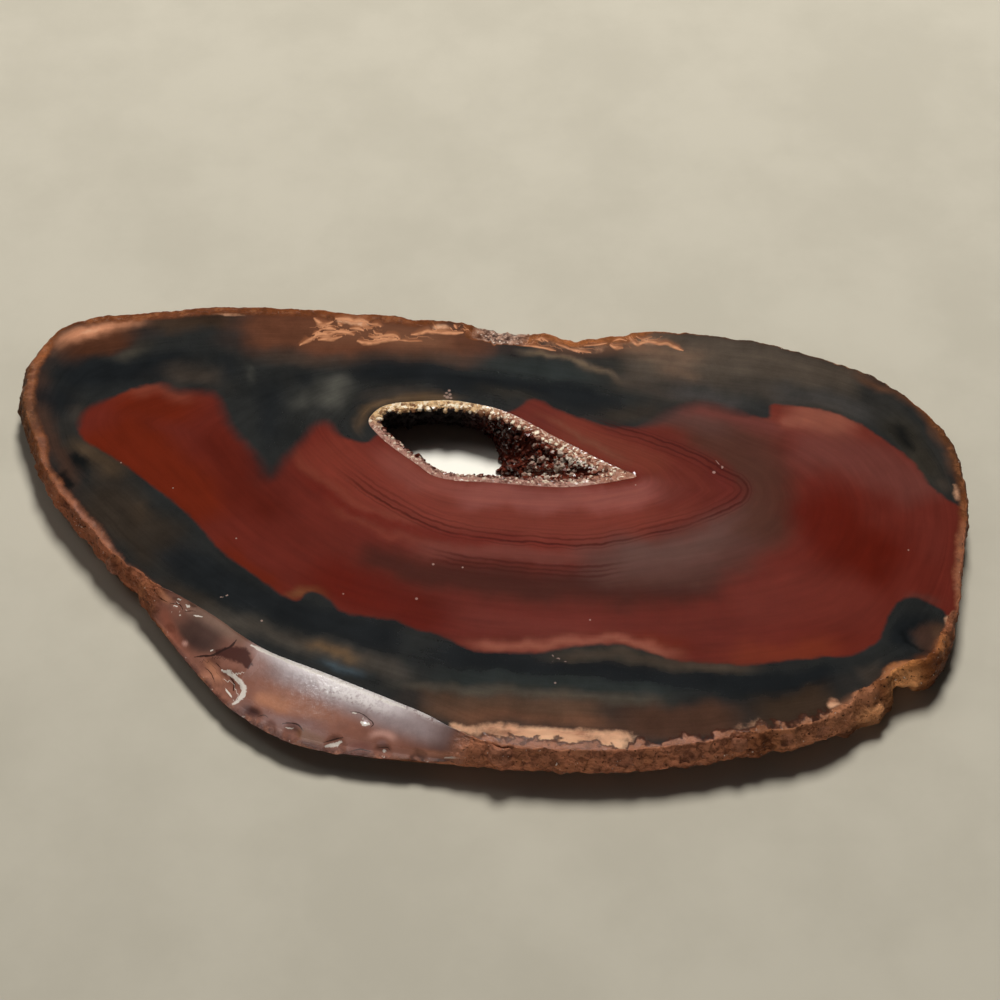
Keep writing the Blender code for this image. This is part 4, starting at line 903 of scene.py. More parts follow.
def buildStone():
    loop, rings, levels = rindRings()
    count = len(loop)
    edgeRings = len(slab["edgeCurve"])
    hollow = evenLoop(hollowRows, slab["hollowSteps"])
    walls = [np.column_stack([wallAt(hollow, down), np.full(len(hollow), slab["thickness"] * (1 - down))])
             for down in (0.0, 0.25, 0.5, 0.75, 1.0)]
    hollowCount = len(hollow)
    side = np.array(rings[edgeRings:])
    bitten = biteChips(side, shellChips)
    points = np.concatenate(rings[:edgeRings] + [side.reshape(-1, 3)])
    chipped = np.concatenate([np.zeros(edgeRings * count), bitten])
    points[:, 2] = np.clip(points[:, 2], 0, slab["thickness"])
    lastRing = (len(rings) - 1) * count
    points[lastRing:, 2] = 0
    faces = [stripFaces(k * count, (k + 1) * count, count) for k in range(len(rings) - 1)]
    total = len(points)
    for wall in walls:
        points = np.concatenate([points, wall])
    for k in range(len(walls) - 1):
        faces.append(stripFaces(total + (k + 1) * hollowCount, total + k * hollowCount, hollowCount))
    firstWall, lastWall = total, total + (len(walls) - 1) * hollowCount
    for z, ringStart, wallStart, spacing, edgeSpacing, finer in (
            (slab["thickness"], 0, firstWall, slab["topSpacing"], slab["edgeSpacing"], dustSpecks),
            (0.0, lastRing, lastWall, slab["underSpacing"], slab["underSpacing"], [])):
        outer, inner = points[ringStart:ringStart + count], points[wallStart:wallStart + hollowCount]
        spots, triangles = fillFlat(outer, inner, spacing, edgeSpacing, finer)
        start = len(points)
        points = np.concatenate([points, np.column_stack([spots, np.full(len(spots), z)])])
        moved = np.where(triangles < count, triangles + ringStart,
                         np.where(triangles < count + hollowCount, triangles - count + wallStart,
                                  triangles - count - hollowCount + start))
        faces.append(moved if z > 0 else moved[:, ::-1])
    chipped = np.concatenate([chipped, np.zeros(len(points) - len(chipped))])
    points[:, :2] -= slab["middle"]
    low, high = np.array(cadBox[0]) / mm, np.array(cadBox[1]) / mm
    points = np.clip(points, low, high)
    piece = meshPiece("bandedStone", points, np.concatenate(faces), True)
    mesh = piece.data
    mesh.set_sharp_from_angle(angle=math.radians(slab["sharpAngle"]))
    for edge in mesh.edges:
        if max(edge.vertices) < count:
            edge.use_edge_sharp = True
    slots = np.zeros(len(mesh.polygons), np.int32)
    facetColumns = easeStep(loop[:, 2], *slab["facetFace"]) > 0.02
    soundColumns = np.array([breakAt(*p)[2] < 0.2 for p in loop[:, :2]]) & ~facetColumns
    for row in range(len(rings) - 1):
        kinds = 1 + (facetColumns & (row < edgeRings - 1 + slab["upperRows"]))
        if row < edgeRings - 1:
            kinds = np.where(facetColumns, 2, soundColumns)
        kinds = np.where((kinds == 2) & (loop[:, 0] < dullBefore), 3, kinds)
        slots[row * 2 * count:(row + 1) * 2 * count] = np.tile(kinds, 2)
    mesh.polygons.foreach_set("material_index", slots)
    x, y, z = points.T
    x, y = x + slab["middle"][0], y + slab["middle"][1]
    size, reach = slab["bend"]
    bentX, bentY = x + wander(x, y, size, 1.0, reach), y + wander(x, y, size, 9.0, reach)
    slightX, slightY = x + (bentX - x) * slab["slightBend"], y + (bentY - y) * slab["slightBend"]

    rim = np.array(rings[edgeRings - 1])[::3]
    fields = {"rimGap": signedDistance(x, y, rim)}
    fields["redSide"] = signedDistance(slightX, slightY, openCurve(redRows + redRows[:1], 3)[:-1])
    ringLine = openCurve(ringRows + ringRows[:1], 5)[:-1]
    outerLine = openCurve(outerRows + outerRows[:1], 5)[:-1]
    ringGap = fields["ringGap"] = -signedDistance(x, y, ringLine)
    outerGap = -signedDistance(x, y, outerLine)
    inHollow = np.maximum(-signedDistance(x, y, hollow[:, :2]), 0.01)
    toRim = np.maximum(fields["rimGap"], 0.01)
    # 0 at the hollow, 1 at the ring's loop, 2 at the outer band, 3 at the rim
    fields["level"] = np.where(ringGap < 0, inHollow / (inHollow - ringGap),
                               np.where(outerGap < 0, 1 + ringGap / (ringGap - outerGap + 1e-6),
                                        2 + outerGap / (outerGap + toRim)))
    fields["redSoft"] = 0.38 + 1.3 * brushWeight(x, y, softEdges)
    fields["rimWidth"] = 0.15 + 1.6 * brushWeight(x, y, wideRim)
    fields["rimDark"] = 0.2 + 0.75 * brushWeight(x, y, darkRim)
    seenX, seenY = slightX, seenAt(slightY, z)
    for name, atX, atY, strokes in (
            ("scallop", x, y, scallopRim), ("drusyShow", x, y, drusyGround), ("ringShow", x, y, ringShows),
            ("secondShow", x, y, secondLines), ("ribbonShow", x, y, ribbonGround),
            ("paleShow", slightX, slightY, paleGround), ("sheenShow", seenX, seenY, facetGlitter),
            ("dullShow", seenX, seenY, facetDull)):
        fields[name] = brushWeight(atX, atY, strokes)
    for name, atX, atY, marks in (
            ("ribbon", slightX, slightY, peachRibbons), ("fleckAndHighlight", seenX, seenY, facetFlecksAndEdgeHighlight),
            ("crack", seenX, seenY, facetCracks), ("stain", seenX, seenY, facetStains)):
        fields[name + "Side"], fields[name + "Near"] = markFields(atX, atY, marks)
    specks = np.full(len(x), mostAcross)
    for sx, sy, radius in dustSpecks:
        specks = np.minimum(specks, np.hypot(x - sx, y - sy) / radius)
    for line in dustFibres:
        specks = np.minimum(specks, distanceTo(x, y, openCurve(line, 4)) / fibreHalf)
    fields["speckGap"] = specks
    allSide = np.zeros(len(x))
    allSide[(edgeRings - 1) * count:lastRing + count] = 1
    allSide[:(edgeRings - 1) * count] = np.tile(facetColumns, edgeRings - 1)
    down = np.zeros(len(x))
    for k, level in enumerate(levels):
        down[(k + edgeRings) * count:(k + edgeRings + 1) * count] = (1 - level) / 2
    reach = np.concatenate([np.tile(loop[:, 2], len(rings)), np.zeros(len(x) - len(rings) * count)])
    fields["facetShow"] = easeStep(reach, *slab["facetFace"]) * (1 - easeStep(down, 0.42, 0.5)) * allSide
    fields["down"] = down
    fields["chipShow"] = chipped
    breaks = np.zeros(len(x))
    for bx, by, bReach, bWidth, bDrop, bRough in rimBreaks:
        near = np.exp(-((np.hypot(x - bx, y - by) / bReach) ** 4))
        inBreak = 1 - easeStep(fields["rimGap"], bWidth - 0.15, bWidth + 0.15)
        breaks = np.maximum(breaks, near * inBreak * min(1, bRough * 5))
    fields["breakShow"] = breaks
    nearFacet = easeStep(np.interp(np.arctan2(y, x), *facetTurn(loop)), 1.6, 3.0)
    fields["rimWidth"] = fields["rimWidth"] * (1 - nearFacet) - 0.7 * nearFacet
    fields["rimDark"] *= 1 - nearFacet
    for name, values in fields.items():
        addField(mesh, name, values)
    addTone(mesh, "darkTone", washedTone(bentX, bentY, "dark", darkWashes))
    addTone(mesh, "redTone", washedTone(bentX, bentY, "brick", redWashes))
    addTone(mesh, "rindTone", washedTone(slightX, slightY, "rust", rindWashes))
    addTone(mesh, "facetTone", washedTone(seenX, seenY, "purpleBrown", facetWashes))
    return piece


# shader helpers: each takes the node tree and gives back the socket to use next
def addNode(tree, kind, **settings):
    made = tree.nodes.new(kind)
    for name, value in settings.items():
        setattr(made, name, value)
    return made


def plug(tree, value, socket):
    if isinstance(value, bpy.types.NodeSocket):
        tree.links.new(value, socket)
    elif socket.type == "RGBA":
        socket.default_value = (*linearTone(value), 1)
    else:
        socket.default_value = value


def calc(tree, operation, *values):
    made = addNode(tree, "ShaderNodeMath", operation=operation)
    for value, socket in zip(values, made.inputs):
        plug(tree, value, socket)
    return made.outputs[0]


def times(tree, first, second):
    return calc(tree, "MULTIPLY", first, second)


def plus(tree, first, second):
    return calc(tree, "ADD", first, second)


def minus(tree, first, second):
    return calc(tree, "SUBTRACT", first, second)


def blendTone(tree, share, first, second):
    made = addNode(tree, "ShaderNodeMix", data_type="RGBA", blend_type="MIX", clamp_factor=True)
    for value, socket in zip((share, first, second), (made.inputs[0], made.inputs[6], made.inputs[7])):
        plug(tree, value, socket)
    return made.outputs[2]


def ease(tree, value, low, high, start=0.0, end=1.0):
    # 0 below low, 1 above high, smooth between them
    made = addNode(tree, "ShaderNodeMapRange", interpolation_type="SMOOTHSTEP")
    for number, socket in zip((value, low, high, start, end), made.inputs):
        plug(tree, number, socket)
    return made.outputs[0]


def scaleTone(tree, tone, light):
    made = addNode(tree, "ShaderNodeVectorMath", operation="SCALE")
    plug(tree, tone, made.inputs[0])
    plug(tree, light, made.inputs["Scale"])
    return made.outputs[0]


def fieldValue(tree, name, output="Fac"):
    made = addNode(tree, "ShaderNodeAttribute", attribute_type="GEOMETRY", attribute_name=name)
    return made.outputs[output]


def fieldTone(tree, name):
    return fieldValue(tree, name, "Color")


def speckle(tree, scale, detail, rough, at=None, squash=(1, 1, 1)):
    # noise over the stone, its scale in lumps per millimetre
    if at is None:
        at = addNode(tree, "ShaderNodeTexCoord").outputs["Object"]
    sized = addNode(tree, "ShaderNodeMapping")
    plug(tree, at, sized.inputs["Vector"])
    sized.inputs["Scale"].default_value = [part / mm for part in squash]
    made = addNode(tree, "ShaderNodeTexNoise", noise_dimensions="3D")
    plug(tree, sized.outputs[0], made.inputs["Vector"])
    plug(tree, scale, made.inputs["Scale"])
    plug(tree, detail, made.inputs["Detail"])
    plug(tree, rough, made.inputs["Roughness"])
    return made.outputs["Fac"]


def waver(tree, reach, *grain):
    # noise that swings evenly to both sides of 0
    return times(tree, minus(tree, speckle(tree, *grain), 0.5), reach)


def lineShare(tree, gap, lines):
    # the strongest of some fine lines that lie at set distances from a loop
    shown = None
    for place, width, strength in lines:
        away = calc(tree, "ABSOLUTE", minus(tree, gap, place))
        line = times(tree, ease(tree, away, width * 0.3, width * 1.6, 1.0, 0.0), strength)
        shown = line if shown is None else calc(tree, "MAXIMUM", shown, line)
    return shown


lobeScale = 0.62        # lobes to a millimetre


def lobes(tree, feature):
    # rounded lumps over the stone, bent a little: how far from a lump's middle, or from its edge
    place = addNode(tree, "ShaderNodeTexCoord").outputs["Object"]
    bend = addNode(tree, "ShaderNodeTexNoise", noise_dimensions="3D")
    plug(tree, place, bend.inputs["Vector"])
    plug(tree, 0.9 / mm, bend.inputs["Scale"])
    shift = addNode(tree, "ShaderNodeVectorMath", operation="MULTIPLY_ADD")
    plug(tree, bend.outputs["Color"], shift.inputs[0])
    shift.inputs[1].default_value = [2.0 * mm] * 3
    plug(tree, place, shift.inputs[2])
    made = addNode(tree, "ShaderNodeTexVoronoi", feature=feature)
    plug(tree, shift.outputs[0], made.inputs["Vector"])
    plug(tree, lobeScale / mm, made.inputs["Scale"])
    return made.outputs["Distance"]


def newGroup(name, inputs, outputs):
    group = bpy.data.node_groups.new(name, "ShaderNodeTree")
    for label, kind, value in inputs:
        socket = group.interface.new_socket(label, in_out="INPUT", socket_type=kind)
        if value is not None:
            socket.default_value = value
    for label, kind in outputs:
        group.interface.new_socket(label, in_out="OUTPUT", socket_type=kind)
    return group, addNode(group, "NodeGroupInput").outputs, addNode(group, "NodeGroupOutput").inputs


def useGroup(tree, group, **values):
    made = addNode(tree, "ShaderNodeGroup", node_tree=group)
    for label, value in values.items():
        plug(tree, value, made.inputs[label])
    return made.outputs


def makeCloudGroup():
    # soft cloudy change of tone through the stone
    group, given, result = newGroup("stoneClouds", [
        ("Color", "NodeSocketColor", (0.1, 0.1, 0.1, 1)), ("Amount", "NodeSocketFloat", 0.15),
        ("Size", "NodeSocketFloat", 0.3)], [("Color", "NodeSocketColor")])
    clouds = speckle(group, given["Size"], 4.0, 0.6)
    grain = speckle(group, 6.0, 2.0, 0.6)
    both = plus(group, times(group, clouds, 0.8), times(group, grain, 0.2))
    swing = times(group, minus(group, both, 0.5), times(group, given["Amount"], 4.0))
    light = plus(group, swing, 1.0)
    plug(group, scaleTone(group, given["Color"], light), result["Color"])
    return group


def makeRindGroup():
    # the stained skin: lumps of paler and darker tone, tan patches and dark pits
    group, given, result = newGroup("stainedSkin", [
        ("Color", "NodeSocketColor", (0.2, 0.08, 0.04, 1)), ("Tan Share", "NodeSocketFloat", 0.3),
        ("Dark Share", "NodeSocketFloat", 0.3), ("Size", "NodeSocketFloat", 0.6)],
        [("Color", "NodeSocketColor"), ("Height", "NodeSocketFloat")])
    broad = speckle(group, given["Size"], 5.0, 0.62)
    fine = speckle(group, times(group, given["Size"], 4.5), 4.0, 0.65)
    patches = speckle(group, times(group, given["Size"], 0.9), 5.0, 0.65, squash=(1, 1.3, 0.7))
    light = plus(group, times(group, broad, 2.2), times(group, fine, 0.6))
    tone = scaleTone(group, given["Color"], minus(group, light, 0.40))
    tan = blendTone(group, 0.6, given["Color"], "rustTan")
    tone = blendTone(group, times(group, ease(group, patches, 0.50, 0.66), given["Tan Share"]), tone, tan)
    tone = blendTone(group, times(group, ease(group, fine, 0.54, 0.70), given["Dark Share"]), tone, "rustPit")
    plug(group, tone, result["Color"])
    height = plus(group, times(group, broad, 0.6), times(group, fine, 0.4))
    plug(group, height, result["Height"])
    return group


stoneBend = 1.54        # how much the polished stone bends light


def newMaterial(name, rough, gloss=0.5):
    material = bpy.data.materials.new(name)
    material.use_nodes = True
    tree = material.node_tree
    shader = tree.nodes["Principled BSDF"]
    shader.inputs["IOR"].default_value = stoneBend
    shader.inputs["Specular IOR Level"].default_value = gloss
    plug(tree, rough, shader.inputs["Roughness"])
    return material, tree, shader


def bumpFrom(tree, shader, height, reach):
    made = addNode(tree, "ShaderNodeBump")
    made.inputs["Strength"].default_value = 1.0
    made.inputs["Distance"].default_value = reach * mm
    plug(tree, height, made.inputs["Height"])
    plug(tree, made.outputs[0], shader.inputs["Normal"])


polish = {
    "rough": 0.13,
    "murk": 0.34,           # cloudiness of the dark stone
    "streaks": 0.13,        # strength of the long soft streaks
    "skin": {"Tan Share": 0.55, "Dark Share": 0.45, "Size": 0.9},  # of the rusty band round the edge
    "relief": 0.12,
}


def makePolishMaterial(clouds, skinGroup):
    material, tree, shader = newMaterial("polishedAgate", polish["rough"])
    level = fieldValue(tree, "level")
    place = addNode(tree, "ShaderNodeTexCoord").outputs["Object"]
    split = addNode(tree, "ShaderNodeSeparateXYZ")
    plug(tree, place, split.inputs[0])
    banded = addNode(tree, "ShaderNodeCombineXYZ")
    plug(tree, times(tree, level, mm), banded.inputs[0])
    plug(tree, split.outputs[0], banded.inputs[1])
    plug(tree, split.outputs[1], banded.inputs[2])
    streakBroad = speckle(tree, 1.0, 3.0, 0.6, at=banded.outputs[0], squash=(5.0, 0.06, 0.06))
    streakFine = speckle(tree, 1.0, 4.0, 0.65, at=banded.outputs[0], squash=(26.0, 0.12, 0.12))

    # where the red stone ends
    soft = fieldValue(tree, "redSoft")
    edge = plus(tree, fieldValue(tree, "redSide"), waver(tree, 0.6, 0.7, 4.0, 0.55))
    redShare = ease(tree, calc(tree, "DIVIDE", edge, soft), -0.6, 0.8)
    colour = blendTone(tree, redShare, fieldTone(tree, "darkTone"), fieldTone(tree, "redTone"))
    murk = minus(tree, polish["murk"], times(tree, redShare, polish["murk"] * 0.7))
    colour = useGroup(tree, clouds, Color=colour, Amount=murk, Size=0.3)["Color"]

    # long soft streaks that follow the bands
    swing = plus(tree, minus(tree, streakBroad, 0.5),
                 times(tree, minus(tree, streakFine, 0.5), 0.9))
    streak = plus(tree, times(tree, swing, polish["streaks"] * 4), 1.0)
    colour = scaleTone(tree, colour, streak)

    # the fine dark lines round the hollow
    ringGap = plus(tree, fieldValue(tree, "ringGap"), waver(tree, 0.8, 0.35, 3.0, 0.6))
    first = times(tree, lineShare(tree, ringGap, ringLines), fieldValue(tree, "ringShow"))
    second = times(tree, lineShare(tree, ringGap, secondRingLines), fieldValue(tree, "secondShow"))
    lines = calc(tree, "MAXIMUM", first, second)
    lines = times(tree, lines, ease(tree, speckle(tree, 0.25, 2.0, 0.5), 0.25, 0.55, 0.55, 1.0))
    colour = blendTone(tree, lines, colour, "lineDark")

    # peach ground and its wavering lines near the far rim
    colour = blendTone(tree, times(tree, fieldValue(tree, "ribbonShow"), 0.45), colour, "tanGround")
    uneven = plus(tree, waver(tree, 1.5, 0.4, 5.0, 0.6), waver(tree, 0.5, 0.8, 5.0, 0.62))
    pale = ease(tree, plus(tree, fieldValue(tree, "paleShow"), uneven), 0.2, 1.0)
    pale = times(tree, pale, ease(tree, fieldValue(tree, "paleShow"), 0.02, 0.3))
    streaky = speckle(tree, 0.5, 4.0, 0.6, squash=(0.5, 1.6, 1.0))
    palePatch = blendTone(tree, ease(tree, streaky, 0.30, 0.52), "peachShade", "peach")
    palePatch = blendTone(tree, ease(tree, streaky, 0.52, 0.70), palePatch, "peachBright")
    colour = blendTone(tree, pale, colour, palePatch)

    # the rusty edge, and the rough ground of the broken places
    skin = useGroup(tree, skinGroup, Color=fieldTone(tree, "rindTone"), **polish["skin"])
    scallop = fieldValue(tree, "scallop")
    ridges = calc(tree, "ABSOLUTE", minus(tree, speckle(tree, 0.42, 3.0, 0.5), 0.5))
    lobe = plus(tree, times(tree, lobes(tree, "F1"), 1.3), times(tree, ridges, 3.6))
    lobe = times(tree, minus(tree, lobe, 1.0), scallop)
    rag = plus(tree, waver(tree, 0.9, 1.3, 5.0, 0.65), lobe)
    band = minus(tree, fieldValue(tree, "rimWidth"), plus(tree, fieldValue(tree, "rimGap"), rag))
    band = calc(tree, "DIVIDE", band, ease(tree, scallop, 0.0, 0.8, 2.4, 1.0))
    broken = fieldValue(tree, "breakShow")
    rimShare = calc(tree, "MAXIMUM", ease(tree, band, -0.14, 0.2), ease(tree, broken, 0.1, 0.35))
    outline = times(tree, ease(tree, band, -0.3, -0.02), ease(tree, band, 0.1, 0.4, 1.0, 0.0))
    rusty = scaleTone(tree, skin["Color"], ease(tree, scallop, 0, 1, 1.0, 0.7))
    colour = blendTone(tree, rimShare, colour, rusty)
    outline = times(tree, outline, ease(tree, scallop, 0, 1, 0.15, 0.8))
    colour = blendTone(tree, outline, colour, "scallopDark")
    fromEdge = plus(tree, fieldValue(tree, "rimGap"), times(tree, rag, 0.3))
    darkEdge = ease(tree, fromEdge, 0.0, 0.35, 0.75, 0.0)
    colour = blendTone(tree, times(tree, darkEdge, fieldValue(tree, "rimDark")), colour, "rimDark")

    # the wavering peach ribbons
    sided = plus(tree, fieldValue(tree, "ribbonSide"), waver(tree, 3.0, 0.8, 5.0, 0.65))
    beside = ease(tree, fieldValue(tree, "ribbonNear"), 0.2, 0.8)
    thread = speckle(tree, 1.1, 4.0, 0.65, squash=(0.6, 1.6, 1.0))
    ribbon = times(tree, ease(tree, calc(tree, "ABSOLUTE", sided), 0.0, 3.0, 1.0, 0.0), beside)
    ribbon = times(tree, ribbon, ease(tree, thread, 0.34, 0.62, 0.3, 1.0))
    glow = times(tree, ease(tree, sided, -3.0, 0.0), ease(tree, sided, 0.5, 8.0, 0.7, 0.0))
    colour = blendTone(tree, times(tree, glow, beside), colour, "ribbonTan")
    colour = blendTone(tree, ribbon, colour, "ribbonPeach")

    # the small crystals of the chipped ground at the far rim
    ground = blendTone(tree, ease(tree, speckle(tree, 1.6, 5.0, 0.7), 0.40, 0.60), "breakDark", "breakPale")
    ground = blendTone(tree, ease(tree, speckle(tree, 3.2, 3.0, 0.6), 0.60, 0.66), ground, "sparkle")
    drusy = times(tree, ease(tree, broken, 0.3, 0.6), fieldValue(tree, "drusyShow"))
    colour = blendTone(tree, drusy, colour, ground)

    # dust on the polish
    dust = ease(tree, fieldValue(tree, "speckGap"), 0.7, 1.3, 0.85, 0.0)
    colour = blendTone(tree, dust, colour, "dust")
    plug(tree, colour, shader.inputs["Base Color"])

    rough = plus(tree, times(tree, speckle(tree, 1.0, 4.0, 0.6), 0.05), polish["rough"] - 0.02)
    worn = calc(tree, "MAXIMUM", times(tree, rimShare, 0.05), times(tree, dust, 0.6))
    worn = calc(tree, "MAXIMUM", worn, times(tree, broken, 0.28))
    plug(tree, plus(tree, rough, worn), shader.inputs["Roughness"])
    bumps = times(tree, minus(tree, skin["Height"], 0.5), calc(tree, "MAXIMUM", rimShare, broken))
    bumpFrom(tree, shader, bumps, polish["relief"])
    return material


rind = {
    "skin": {"Tan Share": 0.6, "Dark Share": 1.0, "Size": 0.6},
    "relief": 0.45,
    # the rough rind, the polished facet and its broken left end: gloss, and whether the facet shows
    "kinds": {"rustyRind": (0.1, False), "facetStone": (0.5, True), "brokenStone": (0.12, True)},
}


def makeRindMaterial(name, gloss, clouds, skinGroup, facetted):
    material, tree, shader = newMaterial(name, 0.5, gloss)
    skin = useGroup(tree, skinGroup, Color=fieldTone(tree, "rindTone"), **rind["skin"])
    colour = skin["Color"]
    # here and there along the front, rounded lobes with dark gaps between them
    scallop = times(tree, fieldValue(tree, "scallop"), ease(tree, speckle(tree, 0.35, 3.0, 0.6), 0.34, 0.54))
    between = ease(tree, lobes(tree, "DISTANCE_TO_EDGE"), 0.0, 0.16, 0.55, 0.0)
    domed = ease(tree, lobes(tree, "F1"), 0.1, 0.5, 0.55, 0.0)
    colour = blendTone(tree, times(tree, domed, scallop), colour, "lobeTan")
    colour = blendTone(tree, times(tree, between, scallop), colour, "scallopDark")
    # painted shade: the rind is darker towards its foot, under its widest line
    foot = ease(tree, fieldValue(tree, "down"), 0.46, 0.9, 0.0, 0.6)
    colour = blendTone(tree, foot, colour, "rindFootShade")
    chip = fieldValue(tree, "chipShow")
    shell = blendTone(tree, ease(tree, speckle(tree, 0.9, 4.0, 0.6), 0.42, 0.58), "chipDark", "chipTan")
    glint = ease(tree, speckle(tree, 2.2, 3.0, 0.7), 0.66, 0.72, 0.0, 0.8)
    colour = blendTone(tree, times(tree, chip, 0.6), colour, shell)
    colour = blendTone(tree, glint, colour, "sparkle")
    rough = plus(tree, times(tree, skin["Height"], 0.3), 0.34)
    relief = skin["Height"]
    if facetted:
        # the smooth slanting facet, with its white flecks, the painted highlight along its upper edge, and
        # its cracks
        facet = fieldValue(tree, "facetShow")
        smooth = useGroup(tree, clouds, Color=fieldTone(tree, "facetTone"), Amount=0.2, Size=0.6)["Color"]
        frayed = waver(tree, 2.4, 2.2, 4.0, 0.65)
        for field, tone, strength, rag in (("stain", "facetDark", 0.95, 0.4),
                                           ("crack", "crackDark", 0.9, 1.0),
                                           ("fleckAndHighlight", "chipAndHighlightWhite", 0.95, 1.0)):
            sided = plus(tree, fieldValue(tree, field + "Side"), times(tree, frayed, rag))
            sided = calc(tree, "ABSOLUTE", sided)
            mark = times(tree, ease(tree, sided, 0.7, 1.3, strength, 0.0),
                        ease(tree, fieldValue(tree, field + "Near"), 0.3, 0.7))
            smooth = blendTone(tree, mark, smooth, tone)
        # painted highlight: pale glittering grains laid into the colour along the facet's upper edge
        grains = ease(tree, speckle(tree, 2.6, 4.0, 0.75), 0.36, 0.54)
        glitter = times(tree, grains, fieldValue(tree, "sheenShow"))
        smooth = blendTone(tree, glitter, smooth, "glitter")
        colour = blendTone(tree, facet, colour, smooth)
        sheen = plus(tree, times(tree, speckle(tree, 1.5, 4.0, 0.65), 0.2), 0.06)
        sheen = plus(tree, sheen, ease(tree, fieldValue(tree, "down"), 0.3, 0.46, 0.0, 0.4))
        sheen = plus(tree, sheen, times(tree, chip, 0.25))
        sheen = plus(tree, sheen, times(tree, fieldValue(tree, "dullShow"), 0.35))
        polished = addNode(tree, "ShaderNodeMix", data_type="FLOAT")
        mixInputs = polished.inputs[0], polished.inputs[2], polished.inputs[3]
        for value, socket in zip((facet, rough, sheen), mixInputs):
            plug(tree, value, socket)
        rough = polished.outputs[0]
        calm = minus(tree, 1.0, times(tree, facet, 0.95))
        relief = times(tree, relief, calm)
    plug(tree, colour, shader.inputs["Base Color"])
    plug(tree, rough, shader.inputs["Roughness"])
    bumpFrom(tree, shader, relief, rind["relief"])
    return material


druse = {
    "cells": 2.4,           # crystals seen end on in the crust's cut edge, to a millimetre
    "steps": 420,           # round the hollow
    "rows": 14,             # from the polished face down
    "cutRows": (0.15, 0.3, 0.45, 0.6, 0.75, 0.9),  # rings between the stone and the crust's inner edge
    "footGap": 0.12,        # the crust ends this far above the underside
    "farWidth": 1.0,        # from the stone to the crystals' feet
    "nearWidth": 0.95,
    "sunk": 0.02,           # how far the crust's cut edge lies below the polished face
    "footSpread": 1.6,      # how much further the slanting side's foot reaches into the hollow
    "mouthDrop": 0.22,      # how far the crust's inner edge lies below the polished face
    "leftEnd": (-7.5, 10.4),    # of the line along the hollow's middle
    "rightFoot": (1.5, 8.3),    # its right end at the underside
    "rightLean": (5.5, -1.6),   # and how much further that end is at the polished face
    "farLine": (-7.0, 10.6, -0.36),  # the far side lies past the line through x, y with this slope
    "widthSway": (0.8, 5.0, 0.22),   # unevenness of the crust: size, seed, reach
    "faceSway": (0.55, 2.0, 0.12),
    "cutSway": (0.3, 4.0, 0.1),
    "seed": 19,
    "crystals": 1500,
    "least": 0.10,          # half width of the wall's crystals
    "most": 0.42,
    "brightCrystals": 220,  # the large pale ones low on the slanting side
    "mouthCrystals": 2600,
    "mouthLeast": 0.05,
    "mouthMost": 0.25,
}


def insetRing(loop, down, width, leastSteep):
    # the ring that stands off the hollow's wall towards the middle of the hollow
    wall = wallAt(loop, down)
    leftEnd, rightFoot = np.array(druse["leftEnd"]), np.array(druse["rightFoot"])
    rightEnd = rightFoot + np.array(druse["rightLean"]) * (1 - down)
    length = np.hypot(*(rightEnd - leftEnd))
    along = (rightEnd - leftEnd) / length
    at = np.clip((wall - leftEnd) @ along, 0, length)
    towards = leftEnd + at[:, None] * along - wall
    wanted = width / np.maximum(steepOf(loop), leastSteep)
    low, high = np.zeros(len(wall)), np.ones(len(wall))
    for _ in range(11):
        share = (low + high) / 2
        spot = wall + towards * share[:, None]
        near = distanceTo(spot[:, 0], spot[:, 1], wall, True) < wanted
        low, high = np.where(near, share, low), np.where(near, high, share)
    return wall + towards * high[:, None]


def steepOf(loop):
    # the level part of the wall's normal: 1 where it is upright, less where it slants
    middle = wallAt(loop, 0.5)
    ahead = np.roll(middle, -1, 0) - np.roll(middle, 1, 0)
    slope = wallAt(loop, 0.0) - wallAt(loop, 1.0)
    normal = np.cross(np.column_stack([ahead, np.zeros(len(loop))]),
                      np.column_stack([slope, np.full(len(loop), slab["thickness"])]))
    level = np.hypot(normal[:, 0], normal[:, 1]) / np.linalg.norm(normal, axis=1)
    spread = len(loop) // 30
    return sum(np.roll(level, k) for k in range(-spread, spread + 1)) / (2 * spread + 1)


def crystalShape(rng, foot, upward, half, tall, leaning, sides=6):
    # a six-sided crystal with a blunt point; its points and triangles
    lean = Vector([rng.gauss(0, leaning) for _ in range(3)])
    axis = (Vector(upward) + lean).normalized()
    across = axis.orthogonal().normalized()
    beside = axis.cross(across)
    turn = rng.uniform(0, math.pi)
    points, triangles = [], []
    shoulder = tall * rng.uniform(0.35, 0.6)
    for height, size in ((-0.25 * half, 1.0), (shoulder, 0.94)):
        for k in range(sides):
            angle = turn + 2 * math.pi * k / sides
            wide = half * size * rng.uniform(0.85, 1.12)
            outward = across * math.cos(angle) + beside * math.sin(angle)
            points.append(Vector(foot) + axis * height + outward * wide)
    points.append(Vector(foot) + axis * tall + across * rng.uniform(-0.2, 0.2) * half)
    for k in range(sides):
        n = (k + 1) % sides
        triangles += [(k, n, sides + n), (k, sides + n, sides + k), (sides + k, sides + n, 2 * sides)]
    return points, triangles


